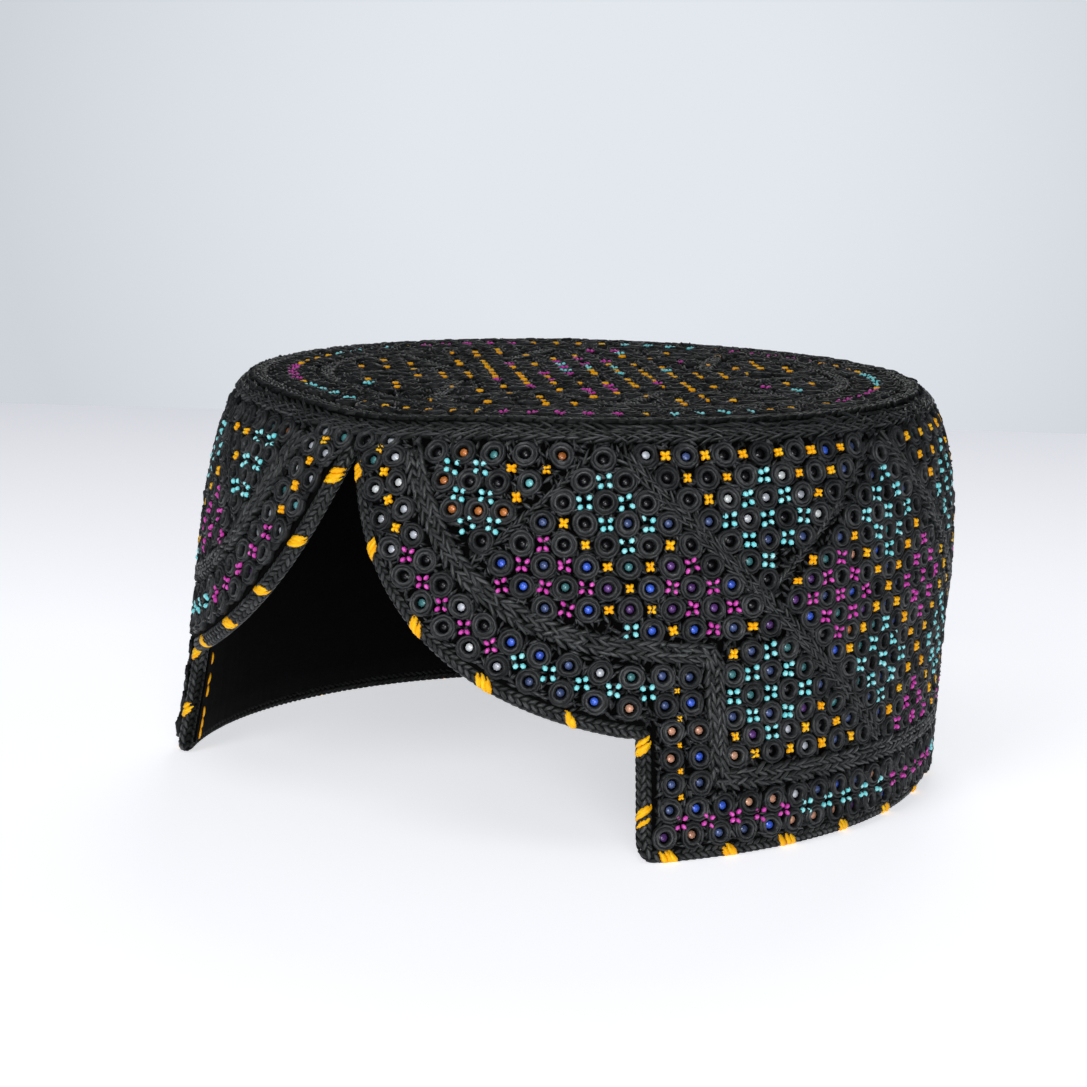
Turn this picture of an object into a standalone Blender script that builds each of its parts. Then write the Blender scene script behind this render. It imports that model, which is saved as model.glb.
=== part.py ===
"""A sindhi cap: a stiff quilted band with a pointed arch cut out of its front, a flat oval crown,
a black lining, a braided piping round the free edge and the raised braids that part the needlework.

The front of the cap faces -Y and its rim stands on z = 0. A place on the band is given by its turn,
in degrees from the middle of the front, and its height, in millimetres. The cap is the same on the
left and on the right, so most shapes are worked out on one half and repeated on the other.
"""

import math

import bpy
from mathutils import Vector

MM = 0.001

# Overall shape, in millimetres
SEAM_HEIGHT = 90.2
FOOT_RADIUS = 91.3
WAIST_LOSS = 2.5
CROWN_RADIUS = 77.4
SHOULDER_HEIGHT = 45.0
FOOT_OVAL = 0.038
CROWN_OVAL = -0.020
FOOT_CENTRE = -9.62
LEAN = 10.2
FRONT_DIP = 2.1
FRONT_DIP_SPREAD = 17.0

# Cloth and trim, in millimetres
GAP = 0.3
SEAT_GAP = 0.55
BAND_THICKNESS = 2.4
BAND_TOP = SEAM_HEIGHT - 1.8
LINING_THICKNESS = 1.0
CROWN_THICKNESS = 2.2
BINDING_RADIUS = 1.8
BRAID_RISE = 1.3

# The band's rows stand closer together where the shoulder bends
ROW_SHARES = (0.0, 0.34, 0.62, 0.8, 0.91, 1.0)

# The free edge: an arch that falls in two sweeps, a step, and the rim
ARCH_FLOOR = 20.0
ARCH_SWEEP, ARCH_SWEEP_TURN = 51.7, 22.7
ARCH_TIP, ARCH_TIP_TURN = 14.0, 5.0
STEP_TURN = 49.2
STEP_LEAN = 3.2
STEP_TOP_RADIUS, STEP_FOOT_RADIUS = 1.6, 3.6
STEP_SPREAD = 30.0
AFTER_STEP = 3.5
BINDING_TOP = 86.2
BINDING_TOP_TURN = 1.55

# The border of mirrors is enclosed by a braid that keeps about the same distance from the edge
BORDER_FLOOR = 43.1
BORDER_SWEEP, BORDER_SWEEP_TURN = 44.9, 12.05
BORDER_TOP_TURN = 10.5
BORDER_STEP_TURN = 57.8
BORDER_STEP_LEAN = 3.9
BORDER_RIM = 16.6
BORDER_CORNER_RADIUS = 3.0
BORDER_WIDTH = 4.4

# The slanting braids part the band into triangles
FIRST_PEAK_TURN = 40.5
PEAK_PITCH = (180.0 - FIRST_PEAK_TURN) / 3
PEAK_HEIGHT = 84.6
SLANT_FALL = 1.353
SLANT_OFFSET = 2.3
COUNTER_FALL = 1.53
COUNTER_OFFSET = -3.0
SLANT_WIDTH = 3.4
COUNTER_WIDTH = 1.8
COUNTER_FOOT, FIRST_COUNTER_FOOT = 58.6, 63.0
BACK_CLEARANCE = 2.6
TOP_BRAID_HEIGHT = 87.5
TOP_BRAID_WIDTH = 2.6

# The crown and the braids on it
CROWN_RISE = 0.8
CROWN_EDGE_SHARE, CROWN_LINING_SHARE = 1.02, 0.955
CROWN_BRAID_WIDTH = 3.0
CROWN_BRAID_SHARE = 0.99
RING_BRAID_SHARE = 0.785
STAR_POINTS = 8
STAR_OUTER, STAR_INNER = 0.72, 0.44
STAR_WIDTH = 3.2


def half_axes(height):
    """Half width, half length and the centre's place of the cap's outline at a height."""
    share = height / SEAM_HEIGHT
    straight = SEAM_HEIGHT - SHOULDER_HEIGHT
    rise = min(max(height / straight, 0.0), 1.0)
    bend = min(max((height - straight) / SHOULDER_HEIGHT, 0.0), 1.0)
    waist = FOOT_RADIUS - WAIST_LOSS * math.sin(math.pi / 2 * rise)
    fall_in = (FOOT_RADIUS - WAIST_LOSS - CROWN_RADIUS) * (1 - math.sqrt(1 - 0.999 * bend * bend))
    radius = waist - fall_in
    oval = FOOT_OVAL + (CROWN_OVAL - FOOT_OVAL) * share
    centre = FOOT_CENTRE + LEAN * (1 - (1 - share) ** 2)
    return radius * (1 - oval), radius * (1 + oval), centre


def from_front(turn):
    """The turn measured from the front, between -180 and 180 degrees."""
    return (turn + 180.0) % 360.0 - 180.0


def dip(turn, height):
    """How far the band's top sinks over the arch."""
    share = height / SEAM_HEIGHT
    return FRONT_DIP * math.exp(-((from_front(turn) / FRONT_DIP_SPREAD) ** 2)) * share ** 4


def skin_point(turn, height):
    """A point of the band's outer surface."""
    width, length, centre = half_axes(height)
    angle = math.radians(turn)
    return Vector((width * math.sin(angle), centre - length * math.cos(angle), height - dip(turn, height)))


def band_normal(turn, height):
    across = skin_point(turn + 0.2, height) - skin_point(turn - 0.2, height)
    up = skin_point(turn, height + 0.1) - skin_point(turn, height - 0.1)
    return across.cross(up).normalized()


def band_point(turn, height, out=0.0):
    """A point out millimetres outside the band's surface, or inside it where out is negative."""
    return skin_point(turn, height) + band_normal(turn, height) * out


def per_degree(turn, height):
    """Millimetres of band in one degree of turn."""
    return (skin_point(turn + 0.5, height) - skin_point(turn - 0.5, height)).length


def arch_height(turn):
    sweep = ARCH_SWEEP * math.exp(-turn / ARCH_SWEEP_TURN)
    return ARCH_FLOOR + sweep + ARCH_TIP * math.exp(-turn / ARCH_TIP_TURN)


def inset_point(turn, height, slope, inset):
    """Moves a place on a falling line by inset millimetres into the cloth above the line."""
    run = per_degree(turn, height)
    size = math.hypot(run, slope)
    return turn - slope / size * inset / run, height + run / size * inset


def arch_line(inset):
    """Places along the right half of the arch, moved into the cloth, from the tip to the step."""
    places = []
    turn = 0.3
    while turn < STEP_TURN:
        slope = (arch_height(turn + 0.1) - arch_height(turn - 0.1)) / 0.2
        places.append(inset_point(turn, arch_height(turn), slope, inset))
        turn += 0.7 + 0.11 * turn
    return places


def step_turn(height, inset):
    """Turn of the step's upright edge at a height, moved into the cloth."""
    corner = arch_height(STEP_TURN)
    turn = STEP_TURN + STEP_LEAN * (corner - height) / corner
    return turn + inset / per_degree(turn, height)


def fillet(before, corner, after, radius):
    """Places on a round corner, worked out in millimetres and given back as turn and height."""
    scale = per_degree(*corner)
    at = Vector((corner[0] * scale, corner[1]))
    to_before = (Vector((before[0] * scale, before[1])) - at).normalized()
    to_after = (Vector((after[0] * scale, after[1])) - at).normalized()
    start, end = at + to_before * radius, at + to_after * radius
    places = []
    for share in (0.0, 0.3, 0.5, 0.7, 1.0):
        point = start * (1 - share) ** 2 + at * 2 * share * (1 - share) + end * share ** 2
        places.append((point.x / scale, point.y))
    return places


def free_edge(inset):
    """The right half of the free edge, from the arch's tip to the back, moved into the cloth."""
    arch = [p for p in arch_line(inset) if p[1] < BINDING_TOP - 5.0]
    corner_height = arch_height(STEP_TURN) + inset
    corner = (step_turn(corner_height, inset), corner_height)
    foot = (step_turn(inset, inset), inset)
    arch = [p for p in arch if p[0] < corner[0] - AFTER_STEP]
    tip = [(BINDING_TOP_TURN, BINDING_TOP), (BINDING_TOP_TURN + 0.25, BINDING_TOP - 3.0)]
    rim_start = foot[0] + AFTER_STEP
    rim_steps = 29
    rim = [(rim_start + (180.0 - rim_start) * i / rim_steps, inset) for i in range(1, rim_steps + 1)]
    middle = ((corner[0] + foot[0]) / 2, (corner[1] + foot[1]) / 2)
    return (tip + arch + fillet(arch[-1], corner, foot, STEP_TOP_RADIUS) + [middle]
            + fillet(corner, foot, rim[0], STEP_FOOT_RADIUS) + rim)


def border_height(turn):
    return BORDER_FLOOR + BORDER_SWEEP * math.exp(-(turn - BORDER_TOP_TURN) / BORDER_SWEEP_TURN)


def border_line():
    """The right half of the border braid, from under the crown to the back."""
    start = BORDER_TOP_TURN + 1.0
    turns = [start + (BORDER_STEP_TURN - 4.0 - start) * (i / 13) ** 1.25 for i in range(14)]
    arch = [(turn, border_height(turn)) for turn in turns]
    corner = (BORDER_STEP_TURN, border_height(BORDER_STEP_TURN))
    foot = (BORDER_STEP_TURN + BORDER_STEP_LEAN, BORDER_RIM)
    rim_steps = 26
    first = foot[0] + AFTER_STEP
    rim = [(first + (180.0 - first) * i / rim_steps, BORDER_RIM) for i in range(rim_steps + 1)]
    middle = ((corner[0] + foot[0]) / 2, (corner[1] + foot[1]) / 2)
    return (arch + fillet(arch[-1], corner, foot, BORDER_CORNER_RADIUS) + [middle]
            + fillet(corner, foot, rim[0], BORDER_CORNER_RADIUS) + rim)


def both_sides(line):
    """A line on the right half that ends at the back, carried on round the left half."""
    return line + [(360.0 - turn, height) for turn, height in reversed(line[:-1])]


def slant_line(index):
    """A slanting braid, from beside a peak down to the border braid or the middle of the back."""
    start = FIRST_PEAK_TURN + PEAK_PITCH * index + SLANT_OFFSET
    meeting = PEAK_HEIGHT - (180.0 - start - BACK_CLEARANCE) * SLANT_FALL
    foot = max(BORDER_RIM + BORDER_WIDTH / 2 + 1.6, meeting)
    steps = 12
    heights = [PEAK_HEIGHT + (foot - PEAK_HEIGHT) * i / steps for i in range(steps + 1)]
    return [(start + (PEAK_HEIGHT - height) / SLANT_FALL, height) for height in heights]


def counter_line(index):
    """The thinner braid on a peak's other side, which ends on the border or on the braid before it."""
    start = FIRST_PEAK_TURN + PEAK_PITCH * index + COUNTER_OFFSET
    foot = COUNTER_FOOT if index else FIRST_COUNTER_FOOT
    steps = 4
    heights = [PEAK_HEIGHT + (foot - PEAK_HEIGHT) * i / steps for i in range(steps + 1)]
    return [(start - (PEAK_HEIGHT - height) / COUNTER_FALL, height) for height in heights]


def turns_around(count):
    return [360.0 * i / count for i in range(count)]


def mirrored(line):
    return [(360.0 - turn, height) for turn, height in line]


def new_object(name, vertices, faces, collection):
    """A mesh object from points in millimetres."""
    mesh = bpy.data.meshes.new(name)
    mesh.from_pydata([Vector(v) * MM for v in vertices], [], faces)
    mesh.validate()
    thing = bpy.data.objects.new(name, mesh)
    collection.objects.link(thing)
    mesh.shade_smooth()
    mesh.set_sharp_from_angle(angle=math.radians(50))
    return thing


def finish_with(thing, name, colour, roughness):
    material = bpy.data.materials.new(name)
    material.use_nodes = True
    shader = material.node_tree.nodes["Principled BSDF"]
    shader.inputs["Base Color"].default_value = (*colour, 1.0)
    shader.inputs["Roughness"].default_value = roughness
    shader.inputs["Metallic"].default_value = 0.0
    thing.data.materials.append(material)


def thicken(thing, thickness):
    """Makes an open sheet solid, on the side that its normals leave."""
    solidify = thing.modifiers.new("Thickness", "SOLIDIFY")
    solidify.thickness = thickness * MM
    solidify.offset = -1.0
    solidify.use_even_offset = True
    solidify.use_rim = True


def band_columns(inset):
    """Turns of the band's columns and the height at which each leaves the free edge."""
    edge = [p for p in arch_line(inset) if p[1] < SEAM_HEIGHT - 4.5]
    corner_height = arch_height(STEP_TURN) + inset
    corner = (step_turn(corner_height, inset), corner_height)
    edge = [p for p in edge if p[0] < corner[0] - 3.0] + [corner]
    back_steps = 20
    back = [(corner[0] + (180.0 - corner[0]) * i / back_steps, corner_height)
            for i in range(1, back_steps + 1)]
    half = edge + back
    return both_sides(half), corner, len(edge) - 1


def band_sheet(name, inset, out, top, thickness, collection):
    """The band or its lining: a sheet over the whole wall, open at the arch."""
    columns, corner, first_low = band_columns(inset)
    upper_rows, lower_rows = len(ROW_SHARES) - 1, 2
    last_low = len(columns) - 1 - first_low
    vertices, index = [], {}
    for i, (turn, foot) in enumerate(columns):
        for row in range(upper_rows + 1):
            height = min(foot + (BAND_TOP - foot) * ROW_SHARES[row], top)
            index[i, row] = len(vertices)
            vertices.append(band_point(turn, height, out))
        if first_low <= i <= last_low:
            side = 1.0 if turn <= 180.0 else -1.0
            from_step = abs(from_front(turn)) - corner[0]
            fade = max(0.0, 1.0 - from_step / STEP_SPREAD)
            for row in range(1, lower_rows + 1):
                height = corner[1] + (inset - corner[1]) * row / lower_rows
                moved = (step_turn(height, inset) - corner[0]) * fade * side
                index[i, -row] = len(vertices)
                vertices.append(band_point(turn + moved, height, out))
    faces = []
    for i in range(len(columns) - 1):
        low = -lower_rows if first_low <= i < last_low else 0
        for row in range(low, upper_rows):
            faces.append((index[i, row], index[i + 1, row], index[i + 1, row + 1], index[i, row + 1]))
    thing = new_object(name, vertices, faces, collection)
    thicken(thing, thickness)
    return thing


def crown_point(turn, share, up):
    """A point of the crown, at a share of the way from its middle to its edge."""
    edge = band_point(turn, SEAM_HEIGHT)
    centre = half_axes(SEAM_HEIGHT)[2]
    sink = dip(turn, SEAM_HEIGHT) * share ** 3
    return Vector((edge.x * share, centre + (edge.y - centre) * share, SEAM_HEIGHT - sink + up))


def crown_sheet(name, edge_share, up, thickness, collection):
    shares = (0.22, 0.46, 0.72, 0.9, edge_share)
    sides = 44
    vertices = [crown_point(0.0, 0.0, up)]
    for share in shares:
        vertices += [crown_point(360.0 * i / sides, share, up) for i in range(sides)]
    faces = [(0, 1 + i, 1 + (i + 1) % sides) for i in range(sides)]
    for ring in range(len(shares) - 1):
        inner, outer = 1 + ring * sides, 1 + (ring + 1) * sides
        for i in range(sides):
            j = (i + 1) % sides
            faces.append((inner + i, outer + i, outer + j, inner + j))
    thing = new_object(name, vertices, faces, collection)
    thicken(thing, thickness)
    return thing


def swept(name, points, normals, section, closed, collection):
    """A solid swept along points: section holds pairs of sideways and outward millimetres."""
    count, sides = len(points), len(section)
    vertices = []
    for i in range(count):
        if closed:
            before, after = points[i - 1], points[(i + 1) % count]
        else:
            before, after = points[max(i - 1, 0)], points[min(i + 1, count - 1)]
        along = (after - before).normalized()
        side = normals[i].cross(along).normalized()
        out = along.cross(side).normalized()
        for sideways, outward in section:
            vertices.append(points[i] + side * sideways + out * outward)
    faces = []
    for i in range(count if closed else count - 1):
        here, there = i * sides, (i + 1) % count * sides
        for k in range(sides):
            m = (k + 1) % sides
            faces.append((here + k, here + m, there + m, there + k))
    if not closed:
        faces.append(tuple(reversed(range(sides))))
        faces.append(tuple((count - 1) * sides + k for k in range(sides)))
    return new_object(name, vertices, faces, collection)


def braid_section(width, low, rise):
    """A low rounded section, flat underneath."""
    half = width / 2
    return [(half, low), (half, low + rise * 0.5), (half * 0.55, low + rise),
            (-half * 0.55, low + rise), (-half, low + rise * 0.5), (-half, low)]


def band_braid(name, line, width, closed, collection):
    points = [band_point(turn, height) for turn, height in line]
    normals = [band_normal(turn, height) for turn, height in line]
    return swept(name, points, normals, braid_section(width, GAP, BRAID_RISE - GAP), closed, collection)


def crown_braid(name, line, width, closed, collection):
    points = [crown_point(turn, share, CROWN_RISE) for turn, share in line]
    normals = [Vector((0.0, 0.0, 1.0))] * len(points)
    return swept(name, points, normals, braid_section(width, GAP, BRAID_RISE - GAP), closed, collection)


def binding(name, collection):
    """The piping along the whole free edge, flattened a little where it stands on the rim."""
    line = both_sides(free_edge(BINDING_RADIUS))
    middle = -(BAND_THICKNESS + GAP + LINING_THICKNESS) / 2
    points = [band_point(turn, height, middle) for turn, height in line]
    normals = [Vector((math.sin(math.radians(t)), -math.cos(math.radians(t)), 0.0)) for t, _ in line]
    sides = 8
    section = []
    for k in range(sides):
        angle = 2 * math.pi * (k + 0.5) / sides
        reach = BINDING_RADIUS / math.cos(math.pi / sides)
        section.append((reach * math.cos(angle), reach * math.sin(angle)))
    thing = swept(name, points, normals, section, False, collection)
    for vertex in thing.data.vertices:
        if vertex.co.z < 0.4 * MM:
            vertex.co.z = 0.0
    return thing


def star_line():
    """The zigzag braid on the crown, with rounded points."""
    middle = (STAR_OUTER + STAR_INNER) / 2
    reach = (STAR_OUTER - STAR_INNER) / 2
    line = []
    steps = 4 * STAR_POINTS
    for i in range(steps):
        swing = (1, 0, -1, 0)[i % 4]
        line.append((360.0 * i / steps, middle + swing * reach))
    return line


def build():
    for thing in list(bpy.data.objects):
        bpy.data.objects.remove(thing, do_unlink=True)
    cap = bpy.data.collections.new("sindhi_cap")
    bpy.context.scene.collection.children.link(cap)

    edge_gap = 2 * BINDING_RADIUS + SEAT_GAP
    lining_out = -(BAND_THICKNESS + SEAT_GAP)

    black_cloth = (0.016, 0.017, 0.019)
    black_thread = (0.022, 0.024, 0.026)
    black_lining = (0.006, 0.006, 0.007)

    band = band_sheet("side_band", edge_gap, 0.0, BAND_TOP, BAND_THICKNESS, cap)
    finish_with(band, "band_cloth", black_cloth, 0.62)
    lining_top = BAND_TOP - GAP - LINING_THICKNESS
    lining = band_sheet("band_lining", edge_gap, lining_out, lining_top, LINING_THICKNESS, cap)
    finish_with(lining, "band_lining_cotton", black_lining, 0.95)

    crown = crown_sheet("crown", CROWN_EDGE_SHARE, CROWN_RISE, CROWN_THICKNESS, cap)
    finish_with(crown, "crown_cloth", black_cloth, 0.62)
    below = CROWN_RISE - CROWN_THICKNESS - GAP
    crown_lining = crown_sheet("crown_lining", CROWN_LINING_SHARE, below, LINING_THICKNESS, cap)
    finish_with(crown_lining, "crown_lining_cotton", black_lining, 0.95)

    piping = binding("edge_binding", cap)
    finish_with(piping, "binding_braid", black_thread, 0.45)

    around = [(turn, TOP_BRAID_HEIGHT) for turn in turns_around(56)]
    top_braid = band_braid("band_top_braid", around, TOP_BRAID_WIDTH, True, cap)
    finish_with(top_braid, "band_top_braid_silk", black_thread, 0.45)

    rim_of_crown = [(turn, CROWN_BRAID_SHARE) for turn in turns_around(56)]
    edge_braid = crown_braid("crown_edge_braid", rim_of_crown, CROWN_BRAID_WIDTH, True, cap)
    finish_with(edge_braid, "crown_edge_braid_silk", black_thread, 0.45)
    ring = [(turn, RING_BRAID_SHARE) for turn in turns_around(44)]
    ring_braid = crown_braid("crown_ring_braid", ring, CROWN_BRAID_WIDTH, True, cap)
    finish_with(ring_braid, "crown_ring_braid_silk", black_thread, 0.45)
    star = crown_braid("crown_star_braid", star_line(), STAR_WIDTH, True, cap)
    finish_with(star, "crown_star_braid_silk", black_thread, 0.45)

    border = band_braid("border_braid", both_sides(border_line()), BORDER_WIDTH, False, cap)
    finish_with(border, "border_braid_silk", black_thread, 0.45)

    for index in range(3):
        for side, carry in (("right", list), ("left", mirrored)):
            name = f"slant_braid_{side}_{index + 1}"
            slant = band_braid(name, carry(slant_line(index)), SLANT_WIDTH, False, cap)
            finish_with(slant, name + "_silk", black_thread, 0.45)
            name = f"counter_braid_{side}_{index + 1}"
            counter = band_braid(name, carry(counter_line(index)), COUNTER_WIDTH, False, cap)
            finish_with(counter, name + "_silk", black_thread, 0.45)


build()
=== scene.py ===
# %% [markdown]
# # A sindhi cap covered with mirror needlework
#
# The real object is a stiff cap: a band of quilted cloth, a flat oval crown and a black lining. The
# outside is covered with dark silk: small rings of thread with mirrors in them, braids that part the
# rings into triangles, and little crosses of yellow, turquoise and magenta thread.
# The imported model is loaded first. Everything else is made around it, in metres, in the same frame.

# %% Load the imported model
import math

import bpy
import numpy as np
from mathutils import Matrix, Vector
from mathutils.kdtree import KDTree


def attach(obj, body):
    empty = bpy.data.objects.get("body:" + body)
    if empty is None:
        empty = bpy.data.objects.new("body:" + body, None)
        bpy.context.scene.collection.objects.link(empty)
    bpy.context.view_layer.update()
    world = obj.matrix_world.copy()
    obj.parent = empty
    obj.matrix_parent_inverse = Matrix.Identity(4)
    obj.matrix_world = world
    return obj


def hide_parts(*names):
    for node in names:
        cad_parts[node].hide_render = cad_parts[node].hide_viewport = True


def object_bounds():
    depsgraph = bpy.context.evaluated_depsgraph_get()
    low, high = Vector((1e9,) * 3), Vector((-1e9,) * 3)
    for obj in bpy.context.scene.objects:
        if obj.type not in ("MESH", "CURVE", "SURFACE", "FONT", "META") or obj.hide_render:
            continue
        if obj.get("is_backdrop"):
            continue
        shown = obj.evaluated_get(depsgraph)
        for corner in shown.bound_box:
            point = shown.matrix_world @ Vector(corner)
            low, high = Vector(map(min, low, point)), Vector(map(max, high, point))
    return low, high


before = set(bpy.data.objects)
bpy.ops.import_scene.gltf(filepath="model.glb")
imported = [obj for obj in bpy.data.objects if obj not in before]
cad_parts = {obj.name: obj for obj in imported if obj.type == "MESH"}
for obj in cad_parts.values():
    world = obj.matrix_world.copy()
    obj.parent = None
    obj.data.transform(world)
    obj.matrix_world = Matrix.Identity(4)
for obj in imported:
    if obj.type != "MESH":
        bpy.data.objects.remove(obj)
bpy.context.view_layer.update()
MM = 0.001

# %% [markdown]
# ## The camera
#
# The photograph was taken from in front and a little above, from the cap's right-hand side, with a long
# lens. The camera is made first, because the render is compared with the photograph all the time.
# Its place and its three turns were worked out from the cap's outline, so they are given as numbers.

# %% Place the camera
CAMERA_PLACE = Vector((408.9, -533.2, 173.4)) * MM
CAMERA_TURN, CAMERA_TILT, CAMERA_ROLL = 0.66675, 0.1798, 0.018
LENS = 93.9

right = Vector((math.cos(CAMERA_TURN), math.sin(CAMERA_TURN), 0.0))
level = Vector((-math.sin(CAMERA_TURN), math.cos(CAMERA_TURN), 0.0))
forward = level * math.cos(CAMERA_TILT) - Vector((0, 0, 1)) * math.sin(CAMERA_TILT)
upward = right.cross(forward)
rolled_right = right * math.cos(CAMERA_ROLL) + upward * math.sin(CAMERA_ROLL)
rolled_up = upward * math.cos(CAMERA_ROLL) - right * math.sin(CAMERA_ROLL)
camera_data = bpy.data.cameras.new("camera")
camera_data.lens = LENS
camera_data.sensor_width = 36.0
camera_data.clip_start, camera_data.clip_end = 0.01, 20.0
camera = bpy.data.objects.new("camera", camera_data)
bpy.context.scene.collection.objects.link(camera)
turned = Matrix((rolled_right, rolled_up, -forward)).transposed()
camera.matrix_world = Matrix.Translation(CAMERA_PLACE) @ turned.to_4x4()
bpy.context.scene.camera = camera
print("camera", [round(v, 3) for v in CAMERA_PLACE])

# %% [markdown]
# ## The cap's surface as a rule
#
# Needlework follows the cloth, so each stitch needs the place and the slope of the cloth under it.
# A mesh could be searched for that, but the band has a simple shape: an oval that leans and narrows
# towards the top. A few formulas, the same as in the solids, give any place from two numbers, the turn
# in degrees from the middle of the front and the height in millimetres.

# %% The band's rule
SEAM_HEIGHT = 90.2
FOOT_RADIUS, WAIST_LOSS, CROWN_RADIUS = 91.3, 2.5, 77.4
SHOULDER_HEIGHT = 45.0
FOOT_OVAL, CROWN_OVAL = 0.038, -0.020
FOOT_CENTRE, LEAN = -9.62, 10.2
FRONT_DIP, FRONT_DIP_SPREAD = 2.1, 17.0
CROWN_RISE = 0.8


def half_axes(height):
    share = height / SEAM_HEIGHT
    straight = SEAM_HEIGHT - SHOULDER_HEIGHT
    rise = min(max(height / straight, 0.0), 1.0)
    bend = min(max((height - straight) / SHOULDER_HEIGHT, 0.0), 1.0)
    waist = FOOT_RADIUS - WAIST_LOSS * math.sin(math.pi / 2 * rise)
    fall_in = (FOOT_RADIUS - WAIST_LOSS - CROWN_RADIUS) * (1 - math.sqrt(1 - 0.999 * bend * bend))
    radius = waist - fall_in
    oval = FOOT_OVAL + (CROWN_OVAL - FOOT_OVAL) * share
    centre = FOOT_CENTRE + LEAN * (1 - (1 - share) ** 2)
    return radius * (1 - oval), radius * (1 + oval), centre


def from_front(turn):
    return (turn + 180.0) % 360.0 - 180.0


def dip(turn, height):
    share = height / SEAM_HEIGHT
    return FRONT_DIP * math.exp(-((from_front(turn) / FRONT_DIP_SPREAD) ** 2)) * share ** 4


def skin_point(turn, height):
    width, length, centre = half_axes(height)
    angle = math.radians(turn)
    level = height - dip(turn, height)
    return np.array((width * math.sin(angle), centre - length * math.cos(angle), level))


def unit(vector):
    return vector / math.sqrt(float(vector @ vector))


def per_degree(turn, height):
    step = skin_point(turn + 0.5, height) - skin_point(turn - 0.5, height)
    return math.sqrt(float(step @ step))


class Seat:
    """A place on the cloth with three directions: east along it, north up it, and out of it."""

    def __init__(self, at, east, north, out):
        self.at, self.east, self.north, self.out = at, east, north, out

    def place(self, shape, lift=0.0, size=1.0, spin=0.0):
        """Moves points given as east, north and out millimetres to this place."""
        c, s = math.cos(spin), math.sin(spin)
        x = (shape[:, 0] * c - shape[:, 1] * s) * size
        y = (shape[:, 0] * s + shape[:, 1] * c) * size
        z = shape[:, 2] * size + lift
        return self.at + np.outer(x, self.east) + np.outer(y, self.north) + np.outer(z, self.out)


def band_seat(turn, height, out=0.0):
    at = skin_point(turn, height)
    east = unit(skin_point(turn + 0.2, height) - skin_point(turn - 0.2, height))
    north = skin_point(turn, height + 0.1) - skin_point(turn, height - 0.1)
    normal = unit(np.cross(east, north))
    return Seat(at + normal * out, east, np.cross(normal, east), normal)


def band_point(turn, height, out=0.0):
    return band_seat(turn, height, out).at


print("half width and length at the rim and at the seam:", half_axes(0.0), half_axes(SEAM_HEIGHT))

# %% [markdown]
# The crown is nearly flat. A place on it is given in millimetres from its middle, and a second rule
# turns a turn and a share of the way to the edge into such a place.

# %% The crown's rule
CROWN_WIDTH, CROWN_LENGTH, CROWN_CENTRE = half_axes(SEAM_HEIGHT)


def crown_share(x, y):
    return math.hypot(x / CROWN_WIDTH, y / CROWN_LENGTH)


def crown_seat(x, y, out=0.0):
    share = crown_share(x, y)
    turn = math.degrees(math.atan2(x / CROWN_WIDTH, -y / CROWN_LENGTH))
    top = SEAM_HEIGHT + CROWN_RISE - dip(turn, SEAM_HEIGHT) * share ** 3
    at = np.array((x, CROWN_CENTRE + y, top + out))
    return Seat(at, np.array((1.0, 0, 0)), np.array((0, 1.0, 0)), np.array((0, 0, 1.0)))


def crown_place(turn, share):
    angle = math.radians(turn)
    return CROWN_WIDTH * share * math.sin(angle), -CROWN_LENGTH * share * math.cos(angle)


print("crown half width and length:", round(CROWN_WIDTH, 1), round(CROWN_LENGTH, 1))

# %% [markdown]
# ## The lines of the design
#
# The arch, the step beside it, the border of mirrors and the slanting braids are lines on the band.
# They are worked out on the right half and mirrored, because the cap is the same on both sides.

# %% The free edge and the border
ARCH_FLOOR = 20.0
ARCH_SWEEP, ARCH_SWEEP_TURN = 51.7, 22.7
ARCH_TIP, ARCH_TIP_TURN = 14.0, 5.0
STEP_TURN, STEP_LEAN = 49.2, 3.2
BINDING_RADIUS = 1.8
BINDING_TOP, BINDING_TOP_TURN = 86.2, 1.55
BORDER_FLOOR = 43.1
BORDER_SWEEP, BORDER_SWEEP_TURN, BORDER_TOP_TURN = 44.9, 12.05, 10.5
BORDER_STEP_TURN, BORDER_STEP_LEAN, BORDER_RIM = 57.8, 3.9, 16.6
BORDER_CORNER, BORDER_DROP = 45.0, 28.4
AFTER_STEP = 3.5


def arch_height(turn):
    sweep = ARCH_SWEEP * math.exp(-turn / ARCH_SWEEP_TURN)
    return ARCH_FLOOR + sweep + ARCH_TIP * math.exp(-turn / ARCH_TIP_TURN)


def arch_line(inset):
    """Places along the right half of the arch, moved into the cloth."""
    places = []
    turn = 0.3
    while turn < STEP_TURN:
        slope = (arch_height(turn + 0.1) - arch_height(turn - 0.1)) / 0.2
        run = per_degree(turn, arch_height(turn))
        size = math.hypot(run, slope)
        places.append((turn - slope / size * inset / run, arch_height(turn) + run / size * inset))
        turn += 0.35 + 0.05 * turn
    return places


def step_turn(height, inset):
    corner = arch_height(STEP_TURN)
    turn = STEP_TURN + STEP_LEAN * (corner - height) / corner
    return turn + inset / per_degree(turn, height)


def fillet(before, corner, after, radius):
    """Places on a round corner."""
    scale = per_degree(*corner)
    at = Vector((corner[0] * scale, corner[1]))
    to_before = (Vector((before[0] * scale, before[1])) - at).normalized()
    to_after = (Vector((after[0] * scale, after[1])) - at).normalized()
    start, end = at + to_before * radius, at + to_after * radius
    places = []
    for share in (0.0, 0.2, 0.4, 0.6, 0.8, 1.0):
        point = start * (1 - share) ** 2 + at * 2 * share * (1 - share) + end * share ** 2
        places.append((point.x / scale, point.y))
    return places


def between(start, end, count):
    """Places on a straight run, without its ends."""
    return [(start[0] + (end[0] - start[0]) * i / count, start[1] + (end[1] - start[1]) * i / count)
            for i in range(1, count)]


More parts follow.
